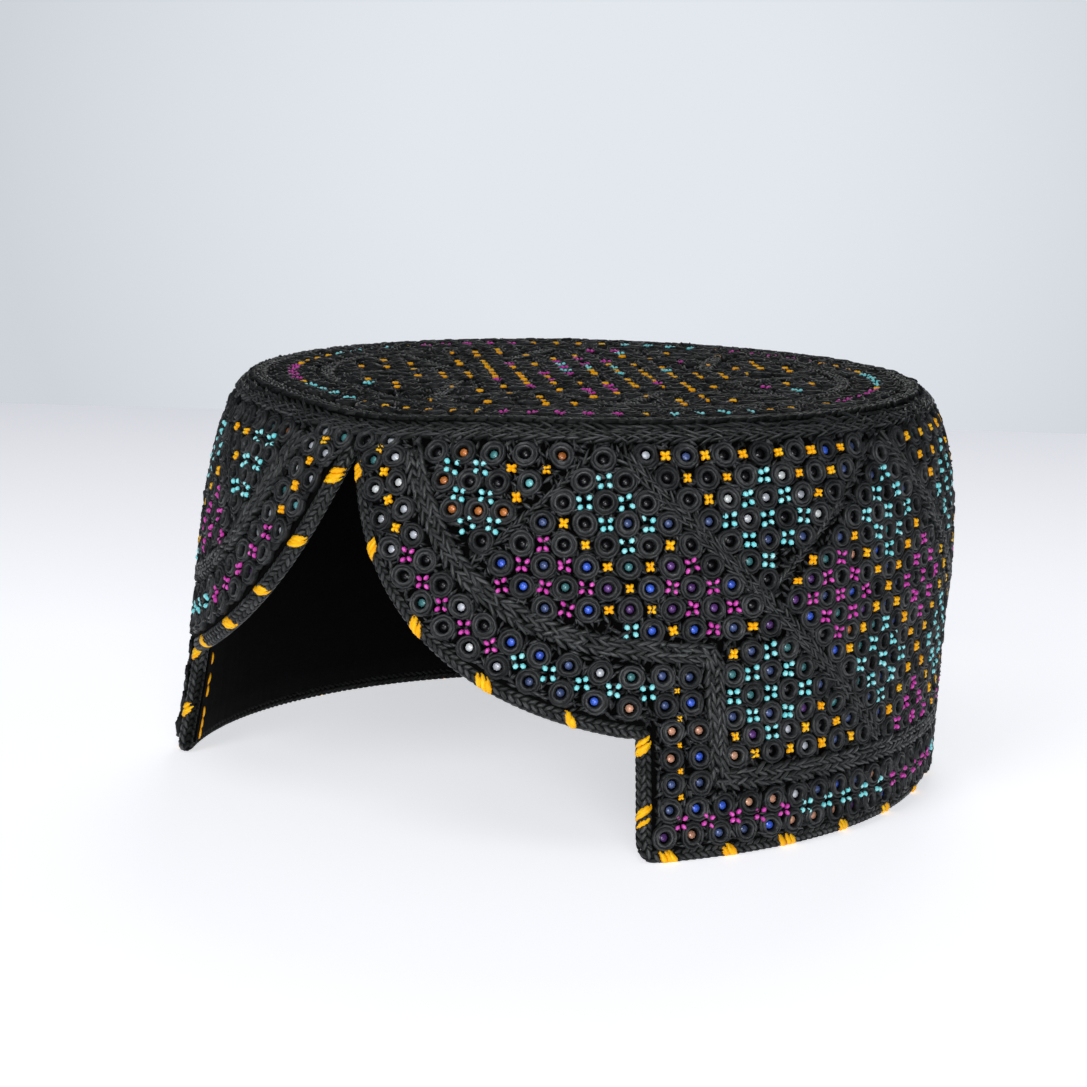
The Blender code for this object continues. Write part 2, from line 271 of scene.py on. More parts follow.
def free_edge(inset, top_radius=1.6, foot_radius=3.6):
    """The right half of the free edge, from the arch's tip to the back."""
    corner_height = arch_height(STEP_TURN) + inset
    corner = (step_turn(corner_height, inset), corner_height)
    foot = (step_turn(inset, inset), inset)
    arch = [p for p in arch_line(inset) if p[1] < BINDING_TOP - 5.0 and p[0] < corner[0] - 2.0]
    tip = [(BINDING_TOP_TURN, BINDING_TOP), (BINDING_TOP_TURN + 0.25, BINDING_TOP - 3.0)]
    top = fillet(arch[-1], corner, foot, top_radius)
    rim_start = (foot[0] + AFTER_STEP, inset)
    bottom = fillet(corner, foot, rim_start, foot_radius)
    rim = between(bottom[-1], (180.0, inset), 80)
    return tip + arch + top + between(top[-1], bottom[0], 8) + bottom + rim


def border_height(turn):
    return BORDER_FLOOR + BORDER_SWEEP * math.exp(-(turn - BORDER_TOP_TURN) / BORDER_SWEEP_TURN)


def border_turn(height):
    """Where the border braid runs down beside the step."""
    return BORDER_STEP_TURN + BORDER_STEP_LEAN * (BORDER_CORNER - height) / BORDER_DROP


def border_line():
    """The right half of the border braid, from under the crown to the back."""
    start = BORDER_TOP_TURN + 1.0
    arch = [(turn, border_height(turn)) for turn in np.linspace(start, BORDER_STEP_TURN - 2.0, 40)]
    corner = (BORDER_STEP_TURN, border_height(BORDER_STEP_TURN))
    foot = (BORDER_STEP_TURN + BORDER_STEP_LEAN, BORDER_RIM)
    top = fillet(arch[-1], corner, foot, 2.5)
    bottom = fillet(corner, foot, (foot[0] + AFTER_STEP, BORDER_RIM), 2.5)
    rim = between(bottom[-1], (180.0, BORDER_RIM), 80)
    return arch + top + between(top[-1], bottom[0], 8) + bottom + rim


def mirrored(line):
    return [(-turn, height) for turn, height in line]


def both_sides(line):
    """A right half that starts near the front and ends at the back, as one line from left to right."""
    return mirrored(line) + [(turn - 360.0, height) for turn, height in line[-2::-1]]


print("free edge:", len(free_edge(BINDING_RADIUS)), "places; border:", len(border_line()), "places")

# %% The slanting braids
FIRST_PEAK_TURN = 40.5
PEAK_PITCH = (180.0 - FIRST_PEAK_TURN) / 3
PEAK_HEIGHT = 84.6
SLANT_FALL, SLANT_OFFSET = 1.353, 2.3
COUNTER_FALL, COUNTER_OFFSET = 1.53, -3.0
COUNTER_FOOT, FIRST_COUNTER_FOOT = 58.6, 63.0
BACK_CLEARANCE = 2.6
TOP_BRAID_HEIGHT = 87.5


def slant_turn(index, height):
    return FIRST_PEAK_TURN + PEAK_PITCH * index + SLANT_OFFSET + (PEAK_HEIGHT - height) / SLANT_FALL


def slant_line(index):
    start = slant_turn(index, PEAK_HEIGHT)
    meeting = PEAK_HEIGHT - (180.0 - start - BACK_CLEARANCE) * SLANT_FALL
    foot = max(BORDER_RIM + 3.8, meeting)
    return [(slant_turn(index, height), height) for height in np.linspace(PEAK_HEIGHT, foot, 40)]


def counter_turn(index, height):
    return FIRST_PEAK_TURN + PEAK_PITCH * index + COUNTER_OFFSET - (PEAK_HEIGHT - height) / COUNTER_FALL


def counter_line(index):
    foot = COUNTER_FOOT if index else FIRST_COUNTER_FOOT
    return [(counter_turn(index, height), height) for height in np.linspace(PEAK_HEIGHT, foot, 16)]


print("the peaks stand at", [round(FIRST_PEAK_TURN + PEAK_PITCH * i, 1) for i in range(3)], "degrees")

# %% [markdown]
# ## Shader maths as plain expressions
#
# A material is a small net of nodes. Written out node by node it is hard to read, so one class wraps a
# socket and lets sockets be added and multiplied with the usual signs. Each sign adds one Math node.
# Colours go through Mix nodes instead, since a Math node would turn them grey.

# %% The socket wrapper and the net of nodes
class Socket:
    def __init__(self, net, output):
        self.net, self.output = net, output

    def __add__(self, other):
        return self.net.maths("ADD", self, other)

    def __mul__(self, other):
        return self.net.maths("MULTIPLY", self, other)


class Net:
    """The nodes of a material or of the world, and the few ways in which this lesson adds to them."""

    def __init__(self, owner):
        owner.use_nodes = True
        self.tree = owner.node_tree
        self.tree.nodes.clear()

    def node(self, kind, settings=None, sockets=None, out=0):
        node = self.tree.nodes.new("ShaderNode" + kind)
        for key, value in (settings or {}).items():
            setattr(node, key, value)
        for key, value in (sockets or {}).items():
            if isinstance(value, Socket):
                self.tree.links.new(value.output, node.inputs[key])
            else:
                node.inputs[key].default_value = value
        return Socket(self, node.outputs[out])

    def maths(self, operation, *values):
        return self.node("Math", {"operation": operation}, dict(enumerate(values)))

    def dot(self, first, second):
        return self.node("VectorMath", {"operation": "DOT_PRODUCT"}, {0: first, 1: second}, "Value")

    def share_of(self, value, low, high):
        """Goes from 0 to 1 as the value goes from low to high."""
        return self.node("MapRange", None, {"Value": value, "From Min": low, "From Max": high})

    def mix(self, share, first, second):
        sockets = {0: share, 6: first, 7: second}
        for key in (6, 7):
            if not isinstance(sockets[key], Socket):
                sockets[key] = (*sockets[key], 1.0)
        return self.node("Mix", {"data_type": "RGBA", "blend_type": "MIX"}, sockets, 2)

    def end(self, kind, shader):
        output = self.tree.nodes.new("ShaderNodeOutput" + kind)
        self.tree.links.new(shader.output, output.inputs["Surface"])


class Finish(Net):
    """A material."""

    def __init__(self, name):
        self.material = bpy.data.materials.new(name)
        super().__init__(self.material)
        self.place = self.node("TexCoord", out="Object")

    def carried(self, name, out):
        """An attribute that each point of a mesh carries."""
        return self.node("Attribute", {"attribute_name": name}, None, out)

    def noise(self, size, detail=3.0, roughness=0.55):
        """Cloudy noise whose patches are about size millimetres across."""
        return self.noise_over(self.place, 1.0 / (size * MM), detail, roughness)

    def noise_over(self, places, scale, detail, roughness):
        sockets = {"Vector": places, "Scale": scale, "Detail": detail, "Roughness": roughness}
        return self.node("TexNoise", None, sockets, "Fac")

    def between(self, share, low, high):
        """A value that goes from low to high as share goes from 0 to 1."""
        return self.node("MapRange", None, {"Value": share, "To Min": low, "To Max": high})

    def bump(self, height, depth):
        """A bump of about depth millimetres."""
        return self.node("Bump", None, {"Height": height, "Strength": 1.0, "Distance": depth * MM})

    def surface(self, **sockets):
        named = {key.replace("_", " "): value for key, value in sockets.items()}
        self.end("Material", self.node("BsdfPrincipled", None, named))
        return self.material


print("materials are written as expressions from here on")

# %% [markdown]
# ## The finishes
#
# The silk is not black but charcoal. Each stitch carries two attributes. Its shade differs from stitch
# to stitch and holds painted shade: it is darker in the folds. Its lay is a place that runs slowly
# along the stitch and quickly across it, so that plain noise over it draws the strands of the floss.
# The strands vary the colour and the shine; their streaks are partly the floss's own tone and partly
# painted highlights, with painted shade between the strands. The cloth under the silk and the lining
# are duller and darker.

# %% Silk, cloth and lining
def silk(name, dark, light, fibre=0.12, gloss=0.6):
    finish = Finish(name)
    shade = finish.carried("shade", "Fac")
    strands = finish.noise_over(finish.carried("lay", "Vector"), 1.0, 2.0, 0.6)
    fluff = finish.noise(0.5, 3.0, 0.6)
    # the streaks are partly the floss's own tone and partly painted highlights, with painted shade
    # between the strands
    streaks_and_painted_highlights = finish.share_of(strands, 0.38, 0.66)
    grain = strands * 0.9 + fluff * 0.1
    # the shade attribute brings the painted shade of folds and low parts into the colour and the coat
    colour = finish.mix(shade * (streaks_and_painted_highlights * 0.65 + 0.35), dark, light)
    return finish.surface(Base_Color=colour, Roughness=finish.between(fluff, 0.45, 0.65),
                          Normal=finish.bump(grain, fibre), Specular_IOR_Level=0.08,
                          Coat_Weight=shade * (streaks_and_painted_highlights * 0.6 + 0.4) * gloss, Coat_Roughness=0.36)


def cloth(name, dark, light, grain, depth, rough):
    finish = Finish(name)
    weave = finish.noise(grain, 5.0, 0.7)
    patches = finish.noise(6.0)
    colour = finish.mix(weave * 0.6 + patches * 0.4, dark, light)
    return finish.surface(Base_Color=colour, Roughness=finish.between(weave, rough - 0.08, rough + 0.06),
                          Normal=finish.bump(weave, depth), Specular_IOR_Level=0.06)


# the silk's darkest colour, reached by dim stitches and by the painted shade in the folds
SILK_DARK_AND_FOLD_SHADE = (0.0002, 0.0003, 0.0004)
charcoal_silk = silk("charcoal_silk", SILK_DARK_AND_FOLD_SHADE, (0.068, 0.073, 0.076), 0.32, 1.0)
braid_silk = silk("braid_silk", SILK_DARK_AND_FOLD_SHADE, (0.070, 0.076, 0.076), 0.32, 1.0)
ground_cloth = cloth("ground_cloth", (0.0003, 0.0003, 0.0004), (0.002, 0.002, 0.0022), 0.7, 0.5, 0.9)
lining_cotton = cloth("lining_felt", (0.0003, 0.0003, 0.0005), (0.0030, 0.0028, 0.0036), 0.45, 0.25, 0.95)
print("dark finishes:", charcoal_silk.name, braid_silk.name, ground_cloth.name, lining_cotton.name)

# %% Coloured threads and mirrors
yellow_silk = silk("yellow_silk", (0.95, 0.35, 0.001), (1.0, 0.72, 0.006))
turquoise_silk = silk("turquoise_silk", (0.10, 0.66, 0.72), (0.65, 1.0, 1.0))
magenta_silk = silk("magenta_silk", (0.45, 0.02, 0.30), (1.0, 0.18, 0.72))


def mirror_glass():
    finish = Finish("small_mirror")
    tint = finish.carried("tint", "Color")
    shade = finish.carried("shade", "Fac")
    clouds = finish.noise(1.2, 2.0)
    glass = finish.mix(clouds * 0.4, tint, (0.02, 0.02, 0.03))
    # the shade attribute paints a shadow ring: where it is 0, on the brim, the mirror is nearly black and
    # has no coat
    colour = finish.mix(shade, (0.002, 0.002, 0.003), glass)
    return finish.surface(Base_Color=colour, Metallic=0.15, Roughness=finish.between(clouds, 0.15, 0.35),
                          Coat_Weight=shade * 0.5, Coat_Roughness=0.1)


mirror_finish = mirror_glass()
print("coloured finishes made")

# %% [markdown]
# ## Gathering stitches into one mesh
#
# There are thousands of rings and stitches. One object for each would be slow, so a needlework gathers
# the points and faces of many small shapes and makes a single mesh of them, with a shade for each.

# %% The gatherer
def new_piece(name, points, faces, material, slot, replaced):
    """A visible piece of the cap, from points in millimetres."""
    mesh = bpy.data.meshes.new(name)
    mesh.from_pydata((np.array(points) * MM).tolist(), [], faces)
    mesh.shade_smooth()
    mesh.materials.append(material)
    piece = bpy.data.objects.new(name, mesh)
    bpy.context.scene.collection.objects.link(piece)
    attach(piece, "root")
    if replaced:
        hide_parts(*replaced)
    return piece


class Needlework:
    """Many small shapes that become one mesh; dim makes all of them darker."""

    def __init__(self, seed, dim=1.0):
        # dim is painted shade: it darkens every shape here, and only the crown's needlework uses it
        self.random, self.dim = np.random.default_rng(seed), dim
        self.points, self.faces, self.shades, self.tints, self.lays, self.count = [], [], [], [], [], 0

    def add(self, points, faces, shade=None, tint=(1.0, 1.0, 1.0), lay=None):
        shade = self.random.uniform(0.45, 1.0) if shade is None else shade
        if lay is None:
            lay = np.zeros((len(points), 3))
        else:
            # painted shade: the third number of a lay is its height, and low parts are made darker, as
            # shade falls in the folds of floss
            rise = lay[:, 2] / max(lay[:, 2].max(), 0.001)
            shade = shade * (0.12 + 0.88 * rise ** 2)
            lay = lay + self.random.uniform(0.0, 50.0, 3)
        self.lays.append(lay)
        self.points.append(points)
        self.faces.extend([[i + self.count for i in face] for face in faces])
        self.shades.append(np.zeros(len(points)) + shade * self.dim)
        self.tints.append(np.tile((*tint, 1.0), (len(points), 1)))
        self.count += len(points)

    def make(self, name, material, slot, *replaced):
        piece = new_piece(name, np.concatenate(self.points), self.faces, material, slot, replaced)
        carried = (("shade", "FLOAT", "value", self.shades), ("lay", "FLOAT_VECTOR", "vector", self.lays),
                   ("tint", "FLOAT_COLOR", "color", self.tints))
        for attribute, kind, field, values in carried:
            numbers = np.concatenate(values).astype(np.float32).ravel()
            piece.data.attributes.new(attribute, kind, "POINT").data.foreach_set(field, numbers)
        triangles = sum(len(face) - 2 for face in self.faces)
        print(f"{name}: {len(self.points)} shapes, {triangles} triangles")


# %% Small shapes
def strand_lay(points):
    """Coordinates for the strands of a stitch that lies along north: fine across it, long along it."""
    # the third column is the height, from which Needlework.add paints shade on the low parts
    return np.column_stack((points[:, 0] * 2.6, points[:, 1] * 0.40, points[:, 2] * 2.6))


def coil_lay(points):
    """The same for a ring: fine from the middle outwards, long round it."""
    radius = np.hypot(points[:, 0], points[:, 1])
    around = np.arctan2(points[:, 1], points[:, 0])
    # the third column is the height, from which Needlework.add paints shade in the grooves between the
    # coils
    return np.column_stack((radius * 2.4, around * 1.1, points[:, 2] * 2.4))


def tube_faces(rows, sides):
    """The faces between rings of points that follow each other."""
    faces = []
    for row in range(rows - 1):
        here, there = row * sides, (row + 1) * sides
        for k in range(sides):
            m = (k + 1) % sides
            faces.append((here + k, here + m, there + m, there + k))
    return faces


def stacked_rings(rings, sides, first=0.0):
    """A shape of rings, each given as half width, half length and height."""
    points = []
    for across, along, height in rings:
        for k in range(sides):
            angle = 2 * math.pi * (k + first) / sides
            points.append((across * math.cos(angle), along * math.sin(angle), height))
    return points, tube_faces(len(rings), sides)


def turned_shape(profile, sides):
    """A shape turned on a lathe from pairs of radius and height; a last radius of 0 closes it."""
    closed = profile[-1][0] == 0
    rings = [(radius, radius, height) for radius, height in profile if radius > 0]
    points, faces = stacked_rings(rings, sides)
    if closed:
        points.append((0.0, 0.0, profile[-1][1]))
        last = (len(rings) - 1) * sides
        faces += [(last + k, last + (k + 1) % sides, len(points) - 1) for k in range(sides)]
    return np.array(points), faces


def sliver_shape(length, width, rise):
    """A thin stitch of the fewest faces, for the many that fill the gaps."""
    half, side = length / 2, width / 2
    rim = [(0, -half, 0), (side, 0, 0), (0, half, 0), (-side, 0, 0)]
    ridge = [(0, -half * 0.45, rise), (0, half * 0.45, rise)]
    faces = [(0, 1, 4), (1, 2, 5), (1, 5, 4), (2, 3, 5), (3, 4, 5), (3, 0, 4)]
    return np.array(rim + ridge), faces


def leaf_shape(length, width, rise, sides=6):
    """A plump stitch that tapers to both ends, lying along north."""
    rings = [(width / 2 * reach, length / 2 * reach, height)
             for reach, height in ((1.0, 0.0), (0.86, 0.62 * rise), (0.42, rise))]
    points, faces = stacked_rings(rings, sides, 0.5)
    faces.append(tuple(2 * sides + k for k in range(sides)))
    return np.array(points), faces


def moved(shape, east, north, spin):
    """A shape turned by spin and moved on the cloth."""
    points, faces = shape
    c, s = math.cos(spin), math.sin(spin)
    x = points[:, 0] * c - points[:, 1] * s + east
    y = points[:, 0] * s + points[:, 1] * c + north
    return np.column_stack((x, y, points[:, 2])), faces


def joined(*shapes):
    points, faces, count = [], [], 0
    for part_points, part_faces in shapes:
        points.append(part_points)
        faces += [tuple(i + count for i in face) for face in part_faces]
        count += len(part_points)
    return np.concatenate(points), faces


RING_RADIUS = 2.85
OUTER_COIL = ((RING_RADIUS, 0.0), (2.86, 0.55), (2.62, 0.98), (2.36, 0.98), (2.14, 0.50))
INNER_COIL = ((1.92, 1.08), (1.62, 1.20), (1.34, 0.85), (1.20, 0.05))
ring_shape = turned_shape(OUTER_COIL + INNER_COIL, 12)
ring_angles = np.arctan2(ring_shape[0][:, 1], ring_shape[0][:, 0])
ring_lay = coil_lay(ring_shape[0])
mirror_shape = turned_shape(((1.25, 0.04), (0.88, 0.16), (0.80, 0.34), (0, 0.38)), 8)
# painted shadow: the brim round the glass is 0, so it is drawn nearly black and without coat, as a dark
# shadow ring inside the thread ring
painted_mirror_shadow = np.where(np.hypot(mirror_shape[0][:, 0], mirror_shape[0][:, 1]) > 0.84, 0.0, 1.0)
print("ring:", len(ring_shape[1]), "faces; mirror:", len(mirror_shape[1]), "faces")

# %% [markdown]
# ## The cloth of the band and crown
#
# Under the needlework lies quilted cloth. It shows only in the gaps, but it closes them, and its edge
# is hidden by the piping. It is made as a fine grid over the band's rule, thickened by Solidify, with
# small hills and hollows from a noise, so that the gaps do not look like polished plastic.

# %% Band cloth
BAND_THICKNESS, LINING_THICKNESS = 2.4, 1.0
SEAT_GAP, GAP = 0.55, 0.3
BAND_TOP = SEAM_HEIGHT - 1.8


def sheet_object(name, sheet, thickness, material, slot, *replaced):
    piece = new_piece(name, *sheet, material, slot, replaced)
    solidify = piece.modifiers.new("Thickness", "SOLIDIFY")
    solidify.thickness = thickness * MM
    solidify.offset = -1.0
    print(f"{name}: {len(sheet[1])} faces before thickening")


def band_sheet(inset, out, top, pucker, seed):
    """A grid over the band that ends inset millimetres inside the free edge."""
    random = np.random.default_rng(seed)
    edge = [p for p in arch_line(inset) if p[1] < SEAM_HEIGHT - 4.5]
    corner_height = arch_height(STEP_TURN) + inset
    corner = (step_turn(corner_height, inset), corner_height)
    edge = [p for p in edge if p[0] < corner[0] - 1.0] + [corner]
    back = [(turn, corner_height) for turn in np.linspace(corner[0], 180.0, 110)[1:]]
    half = edge + back
    columns = both_sides(half)
    first_low = len(edge) - 1
    last_low = len(columns) - 1 - first_low
    upper_rows, lower_rows = 16, 5
    points, faces, index = [], [], {}
    for i, (turn, foot) in enumerate(columns):
        for row in range(upper_rows + 1):
            share = 1 - (1 - row / upper_rows) ** 1.5
            index[i, row] = len(points)
            points.append(band_point(turn, foot + (top - foot) * share, out + pucker * random.normal()))
        if first_low <= i <= last_low:
            away = abs(from_front(turn))
            fade = max(0.0, 1.0 - (away - corner[0]) / 30.0)
            side = 1.0 if from_front(turn) > 0 else -1.0
            for row in range(1, lower_rows + 1):
                height = corner_height + (inset - corner_height) * row / lower_rows
                index[i, -row] = len(points)
                shift = (step_turn(height, inset) - corner[0]) * fade * side
                points.append(band_point(turn + shift, height, out + pucker * random.normal()))
    for i in range(len(columns) - 1):
        low = -lower_rows if first_low <= i < last_low else 0
        for row in range(low, upper_rows):
            faces.append((index[i + 1, row], index[i, row], index[i, row + 1], index[i + 1, row + 1]))
    return points, faces


EDGE_GAP = 2 * BINDING_RADIUS + SEAT_GAP
SHEET_INSET = EDGE_GAP - 1.2
LINING_OUT = -(BAND_THICKNESS + SEAT_GAP)
outer_sheet = band_sheet(SHEET_INSET, 0.0, BAND_TOP, 0.06, 1)
sheet_object("band_cloth", outer_sheet, BAND_THICKNESS, ground_cloth, "band_cloth", "side_band")
inner_sheet = band_sheet(SHEET_INSET, LINING_OUT, BAND_TOP - GAP - LINING_THICKNESS, 0.07, 2)
sheet_object("lining_of_band", inner_sheet, LINING_THICKNESS, lining_cotton, "lining_cotton",
             "band_lining")

# %% Crown cloth
CROWN_THICKNESS = 2.2


def crown_sheet(edge_share, up, pucker, seed):
    random = np.random.default_rng(seed)
    sides, rows = 90, 16
    points = [crown_seat(0.0, 0.0, up).at]
    for row in range(1, rows + 1):
        share = edge_share * (row / rows) ** 0.8
        for k in range(sides):
            x, y = crown_place(360.0 * k / sides, share)
            points.append(crown_seat(x, y, up + pucker * random.normal()).at)
    faces = [(0, 1 + k, 1 + (k + 1) % sides) for k in range(sides)]
    for row in range(rows - 1):
        inner, outer = 1 + row * sides, 1 + (row + 1) * sides
        for k in range(sides):
            m = (k + 1) % sides
            faces.append((inner + k, outer + k, outer + m, inner + m))
    return points, faces


outer_sheet = crown_sheet(1.02, 0.0, 0.05, 3)
sheet_object("crown_cloth", outer_sheet, CROWN_THICKNESS, ground_cloth, "band_cloth", "crown")
inner_sheet = crown_sheet(0.955, -CROWN_THICKNESS - GAP, 0.06, 4)
sheet_object("lining_of_crown", inner_sheet, LINING_THICKNESS, lining_cotton, "lining_cotton",
             "crown_lining")

# %% [markdown]
# ## The braids
#
# Each braid is a pair of chain-stitched cords. A chain stitch reads as a row of small leaves that lean
# in from both sides. A twisted curve would show a spiral instead, so the leaves are laid one by one
# along two lines, over a low rounded cord that fills the gaps between them.

# %% Walking along a line
def lengths_along(at):
    """How far each of these points is along the line through them."""
    return np.concatenate(([0.0], np.cumsum(np.linalg.norm(np.diff(at, axis=0), axis=1))))


def places_at(line, lengths, wanted):
    """The places of a line at the wanted distances along it."""
    return list(zip(*[np.interp(wanted, lengths, [place[k] for place in line]) for k in (0, 1)]))


def walk(line, seat_of, pitch, closed=False):
    """Seats at an even pitch along a line of places; north points along the line."""
    places = list(line)
    if closed:
        turns_over = abs(line[0][0] - line[-1][0]) > 180.0
        places.append((line[0][0] + 360.0, line[0][1]) if turns_over else line[0])
    dense = []
    for (a, b), (c, d) in zip(places, places[1:]):
        steps = 4
        dense += [(a + (c - a) * i / steps, b + (d - b) * i / steps) for i in range(steps)]
    dense.append(places[-1])
    lengths = lengths_along(np.array([seat_of(*place).at for place in dense]))
    count = max(2, round(lengths[-1] / pitch))
    wanted = np.linspace(0.0, lengths[-1], count + 1)
    if closed:
        wanted = wanted[:-1]
    walked = [seat_of(*place) for place in places_at(dense, lengths, wanted)]
    track = np.array([seat.at for seat in walked])
    result = []
    for i, seat in enumerate(walked):
        if closed:
            ahead, behind = track[(i + 1) % len(track)], track[i - 1]
        else:
            ahead, behind = track[min(i + 1, len(track) - 1)], track[max(i - 1, 0)]
        north = unit(ahead - behind)
        east = unit(np.cross(north, seat.out))
        result.append(Seat(seat.at, east, north, np.cross(east, north)))
    return result


def cord(work, seats, aside, radius, lift, closed, shade=0.1, sides=6):
    """A plain rounded cord under the stitches, aside millimetres to the east of the walked line."""
    # the low shade of 0.1 is painted shade where the cord shows in the gaps between the stitches
    angles = np.pi * np.arange(sides) / (sides - 1)
    across, above = aside + radius * np.cos(angles), lift + radius * np.sin(angles)
    rows = [seat.place(np.column_stack((across, np.zeros(sides), above))) for seat in seats]
    faces = []
    for i in range(len(rows) if closed else len(rows) - 1):
        here, there = i * sides, (i + 1) % len(rows) * sides
        faces += [(here + k, there + k, there + k + 1, here + k + 1) for k in range(sides - 1)]
    work.add(np.concatenate(rows), faces, shade)


CHAIN_PITCH = 1.85
chain_leaf = leaf_shape(3.9, 1.12, 0.78, 5)
chain_lay = strand_lay(chain_leaf[0])


def chain(work, seats, aside, width, lift, closed, grow, rise):
    """A chain-stitched cord: leaves that lean in from both sides of the line."""
    cord(work, seats, aside, width * 0.46, lift - width * 0.18, closed)
    lean = 0.33
    for seat in seats:
        for side in (-1, 1):
            jitter = work.random.normal(0.0, 1.0, 4)
            shape = chain_leaf[0] * np.array((width / 1.9, grow * (1.0 + 0.2 * jitter[3]), rise))
            spin = side * (lean + 0.16 * jitter[0])
            above = lift + width * 0.08 + min(abs(jitter[2]), 1.6) * 0.16
            ahead = 0.35 * side + 0.22 * jitter[1]
            shift = seat.east * (aside + side * width * 0.25) + seat.north * ahead
            work.add(seat.place(shape, above, 1.0, spin) + shift, chain_leaf[1], lay=chain_lay)


def double_chain(work, line, seat_of, width, lift=0.25, closed=False, strands=2, grow=1.0, rise=1.0):
    """Chains side by side, width millimetres across in all; grow and rise stretch their leaves."""
    seats = walk(line, seat_of, CHAIN_PITCH * grow, closed)
    for strand in range(strands):
        aside = width * ((strand + 0.5) / strands - 0.5)
        chain(work, seats, aside, width / strands, lift, closed, grow, rise)


# %% The band's braids
TOP_BRAID_WIDTH, BORDER_WIDTH, SLANT_WIDTH, COUNTER_WIDTH = 2.2, 4.2, 2.8, 1.3


def round_the_cap(height):
    return [(turn * 3.0, height) for turn in range(120)]


top_work = Needlework(11)
top_line = round_the_cap(TOP_BRAID_HEIGHT + 1.0)
double_chain(top_work, top_line, band_seat, TOP_BRAID_WIDTH, closed=True, grow=1.7, rise=1.5)
top_work.make("chain_under_crown", braid_silk, "black_braid", "band_top_braid")

border_work = Needlework(12)
double_chain(border_work, both_sides(border_line()), band_seat, BORDER_WIDTH, grow=1.2, rise=1.15)
border_work.make("chain_round_border", braid_silk, "black_braid", "border_braid")

slant_work = Needlework(13)
replaced = []
for index in range(3):
    for side, carry in (("right", list), ("left", mirrored)):
        double_chain(slant_work, carry(slant_line(index)), band_seat, SLANT_WIDTH, grow=1.2, rise=1.15)
        double_chain(slant_work, carry(counter_line(index)), band_seat, COUNTER_WIDTH, 0.1, strands=1)
        replaced += [f"slant_braid_{side}_{index + 1}", f"counter_braid_{side}_{index + 1}"]
slant_work.make("chains_between_fields", braid_silk, "black_braid", *replaced)

# %% The crown's braids
CROWN_BRAID_WIDTH, STAR_WIDTH = 3.0, 3.2
CROWN_BRAID_SHARE, RING_BRAID_SHARE = 0.99, 0.785
STAR_POINTS, STAR_OUTER, STAR_INNER = 8, 0.72, 0.44


def crown_line(share, count=120):
    return [crown_place(360.0 * i / count, share) for i in range(count)]


def star_line():
    steps = 2 * STAR_POINTS
    reaches = (STAR_OUTER, STAR_INNER) * STAR_POINTS
    corners = [crown_place(360.0 * i / steps, reach) for i, reach in enumerate(reaches)]
    line = []
    for i, corner in enumerate(corners):
        line += [corner] + between(corner, corners[(i + 1) % steps], 6)
    return line


def crown_side_seat(turn, height):
    """A place on the rolled side of the crown, which leans halfway between the band and the top."""
    x, y = crown_place(turn, 1.02)
    top = crown_seat(x, y)
    slope = band_seat(turn, SEAM_HEIGHT - 4.0)
    out = unit(slope.out * np.array((1.0, 1.0, 0.0)) + top.out * 0.75)
    at = top.at - np.array((0, 0, 1.0)) * (SEAM_HEIGHT + CROWN_RISE - height)
    return Seat(at, slope.east, np.cross(out, slope.east), out)


# painted shade: the crown's chains are dimmed, so that the lamps above can brighten the crown's crosses
# while its silk stays dark
crown_chains = Needlework(14, 0.62)
double_chain(crown_chains, round_the_cap(90.0), crown_side_seat, 1.7, 0.1, True, 1, 1.5, 1.2)
CROWN_LINES = ((crown_line(CROWN_BRAID_SHARE), 3.4), (crown_line(RING_BRAID_SHARE), CROWN_BRAID_WIDTH),
               (star_line(), STAR_WIDTH))
for line, width in CROWN_LINES:
    double_chain(crown_chains, line, crown_seat, width, 0.2, True, 2, 1.3, 1.2)
crown_chains.make("chains_on_crown", braid_silk, "black_braid", "crown_edge_braid", "crown_ring_braid",
                  "crown_star_braid")

# %% [markdown]
# ## The piping of the free edge
#
# The arch, the steps and the rim are bound with a plump plaited piping. A round tube gives its body,
# and leaves in rows round it give the plait. Three yellow threads at a time wrap it slantwise, about
# every 17 mm along the rim and at counted places on the arch.

# %% Plaited piping
PIPING_INSIDE = -(BAND_THICKNESS + GAP + LINING_THICKNESS) / 2
piping_work = Needlework(15)
edge_line = both_sides(free_edge(BINDING_RADIUS))


def piping_seat(turn, height):
    return band_seat(turn, height, PIPING_INSIDE)


piping_seats = walk(edge_line, piping_seat, 1.75)
FLATTER = 0.84


def round_the_piping(seat, angle, radius):
    """A seat on the tube's side, at an angle from straight out."""
    out = seat.out * math.cos(angle) + seat.east * math.sin(angle)
    east = seat.east * math.cos(angle) - seat.out * math.sin(angle)
    reach = seat.out * math.cos(angle) * FLATTER + seat.east * math.sin(angle)
    return Seat(seat.at + reach * radius, east, seat.north, out)


TUBE_SIDES, TUBE_RADIUS, PLAIT_RADIUS = 12, 1.45, 1.36
tube = [round_the_piping(seat, 2 * math.pi * k / TUBE_SIDES, TUBE_RADIUS).at
        for seat in piping_seats for k in range(TUBE_SIDES)]
# the tube's shade of 0.1 is painted shade where it shows between the plaited leaves
piping_work.add(np.array(tube), tube_faces(len(piping_seats), TUBE_SIDES), 0.1)
plait_leaf = leaf_shape(3.1, 1.3, 0.62, 5)
plait_lay = strand_lay(plait_leaf[0])
PLAIT_ROWS = 8
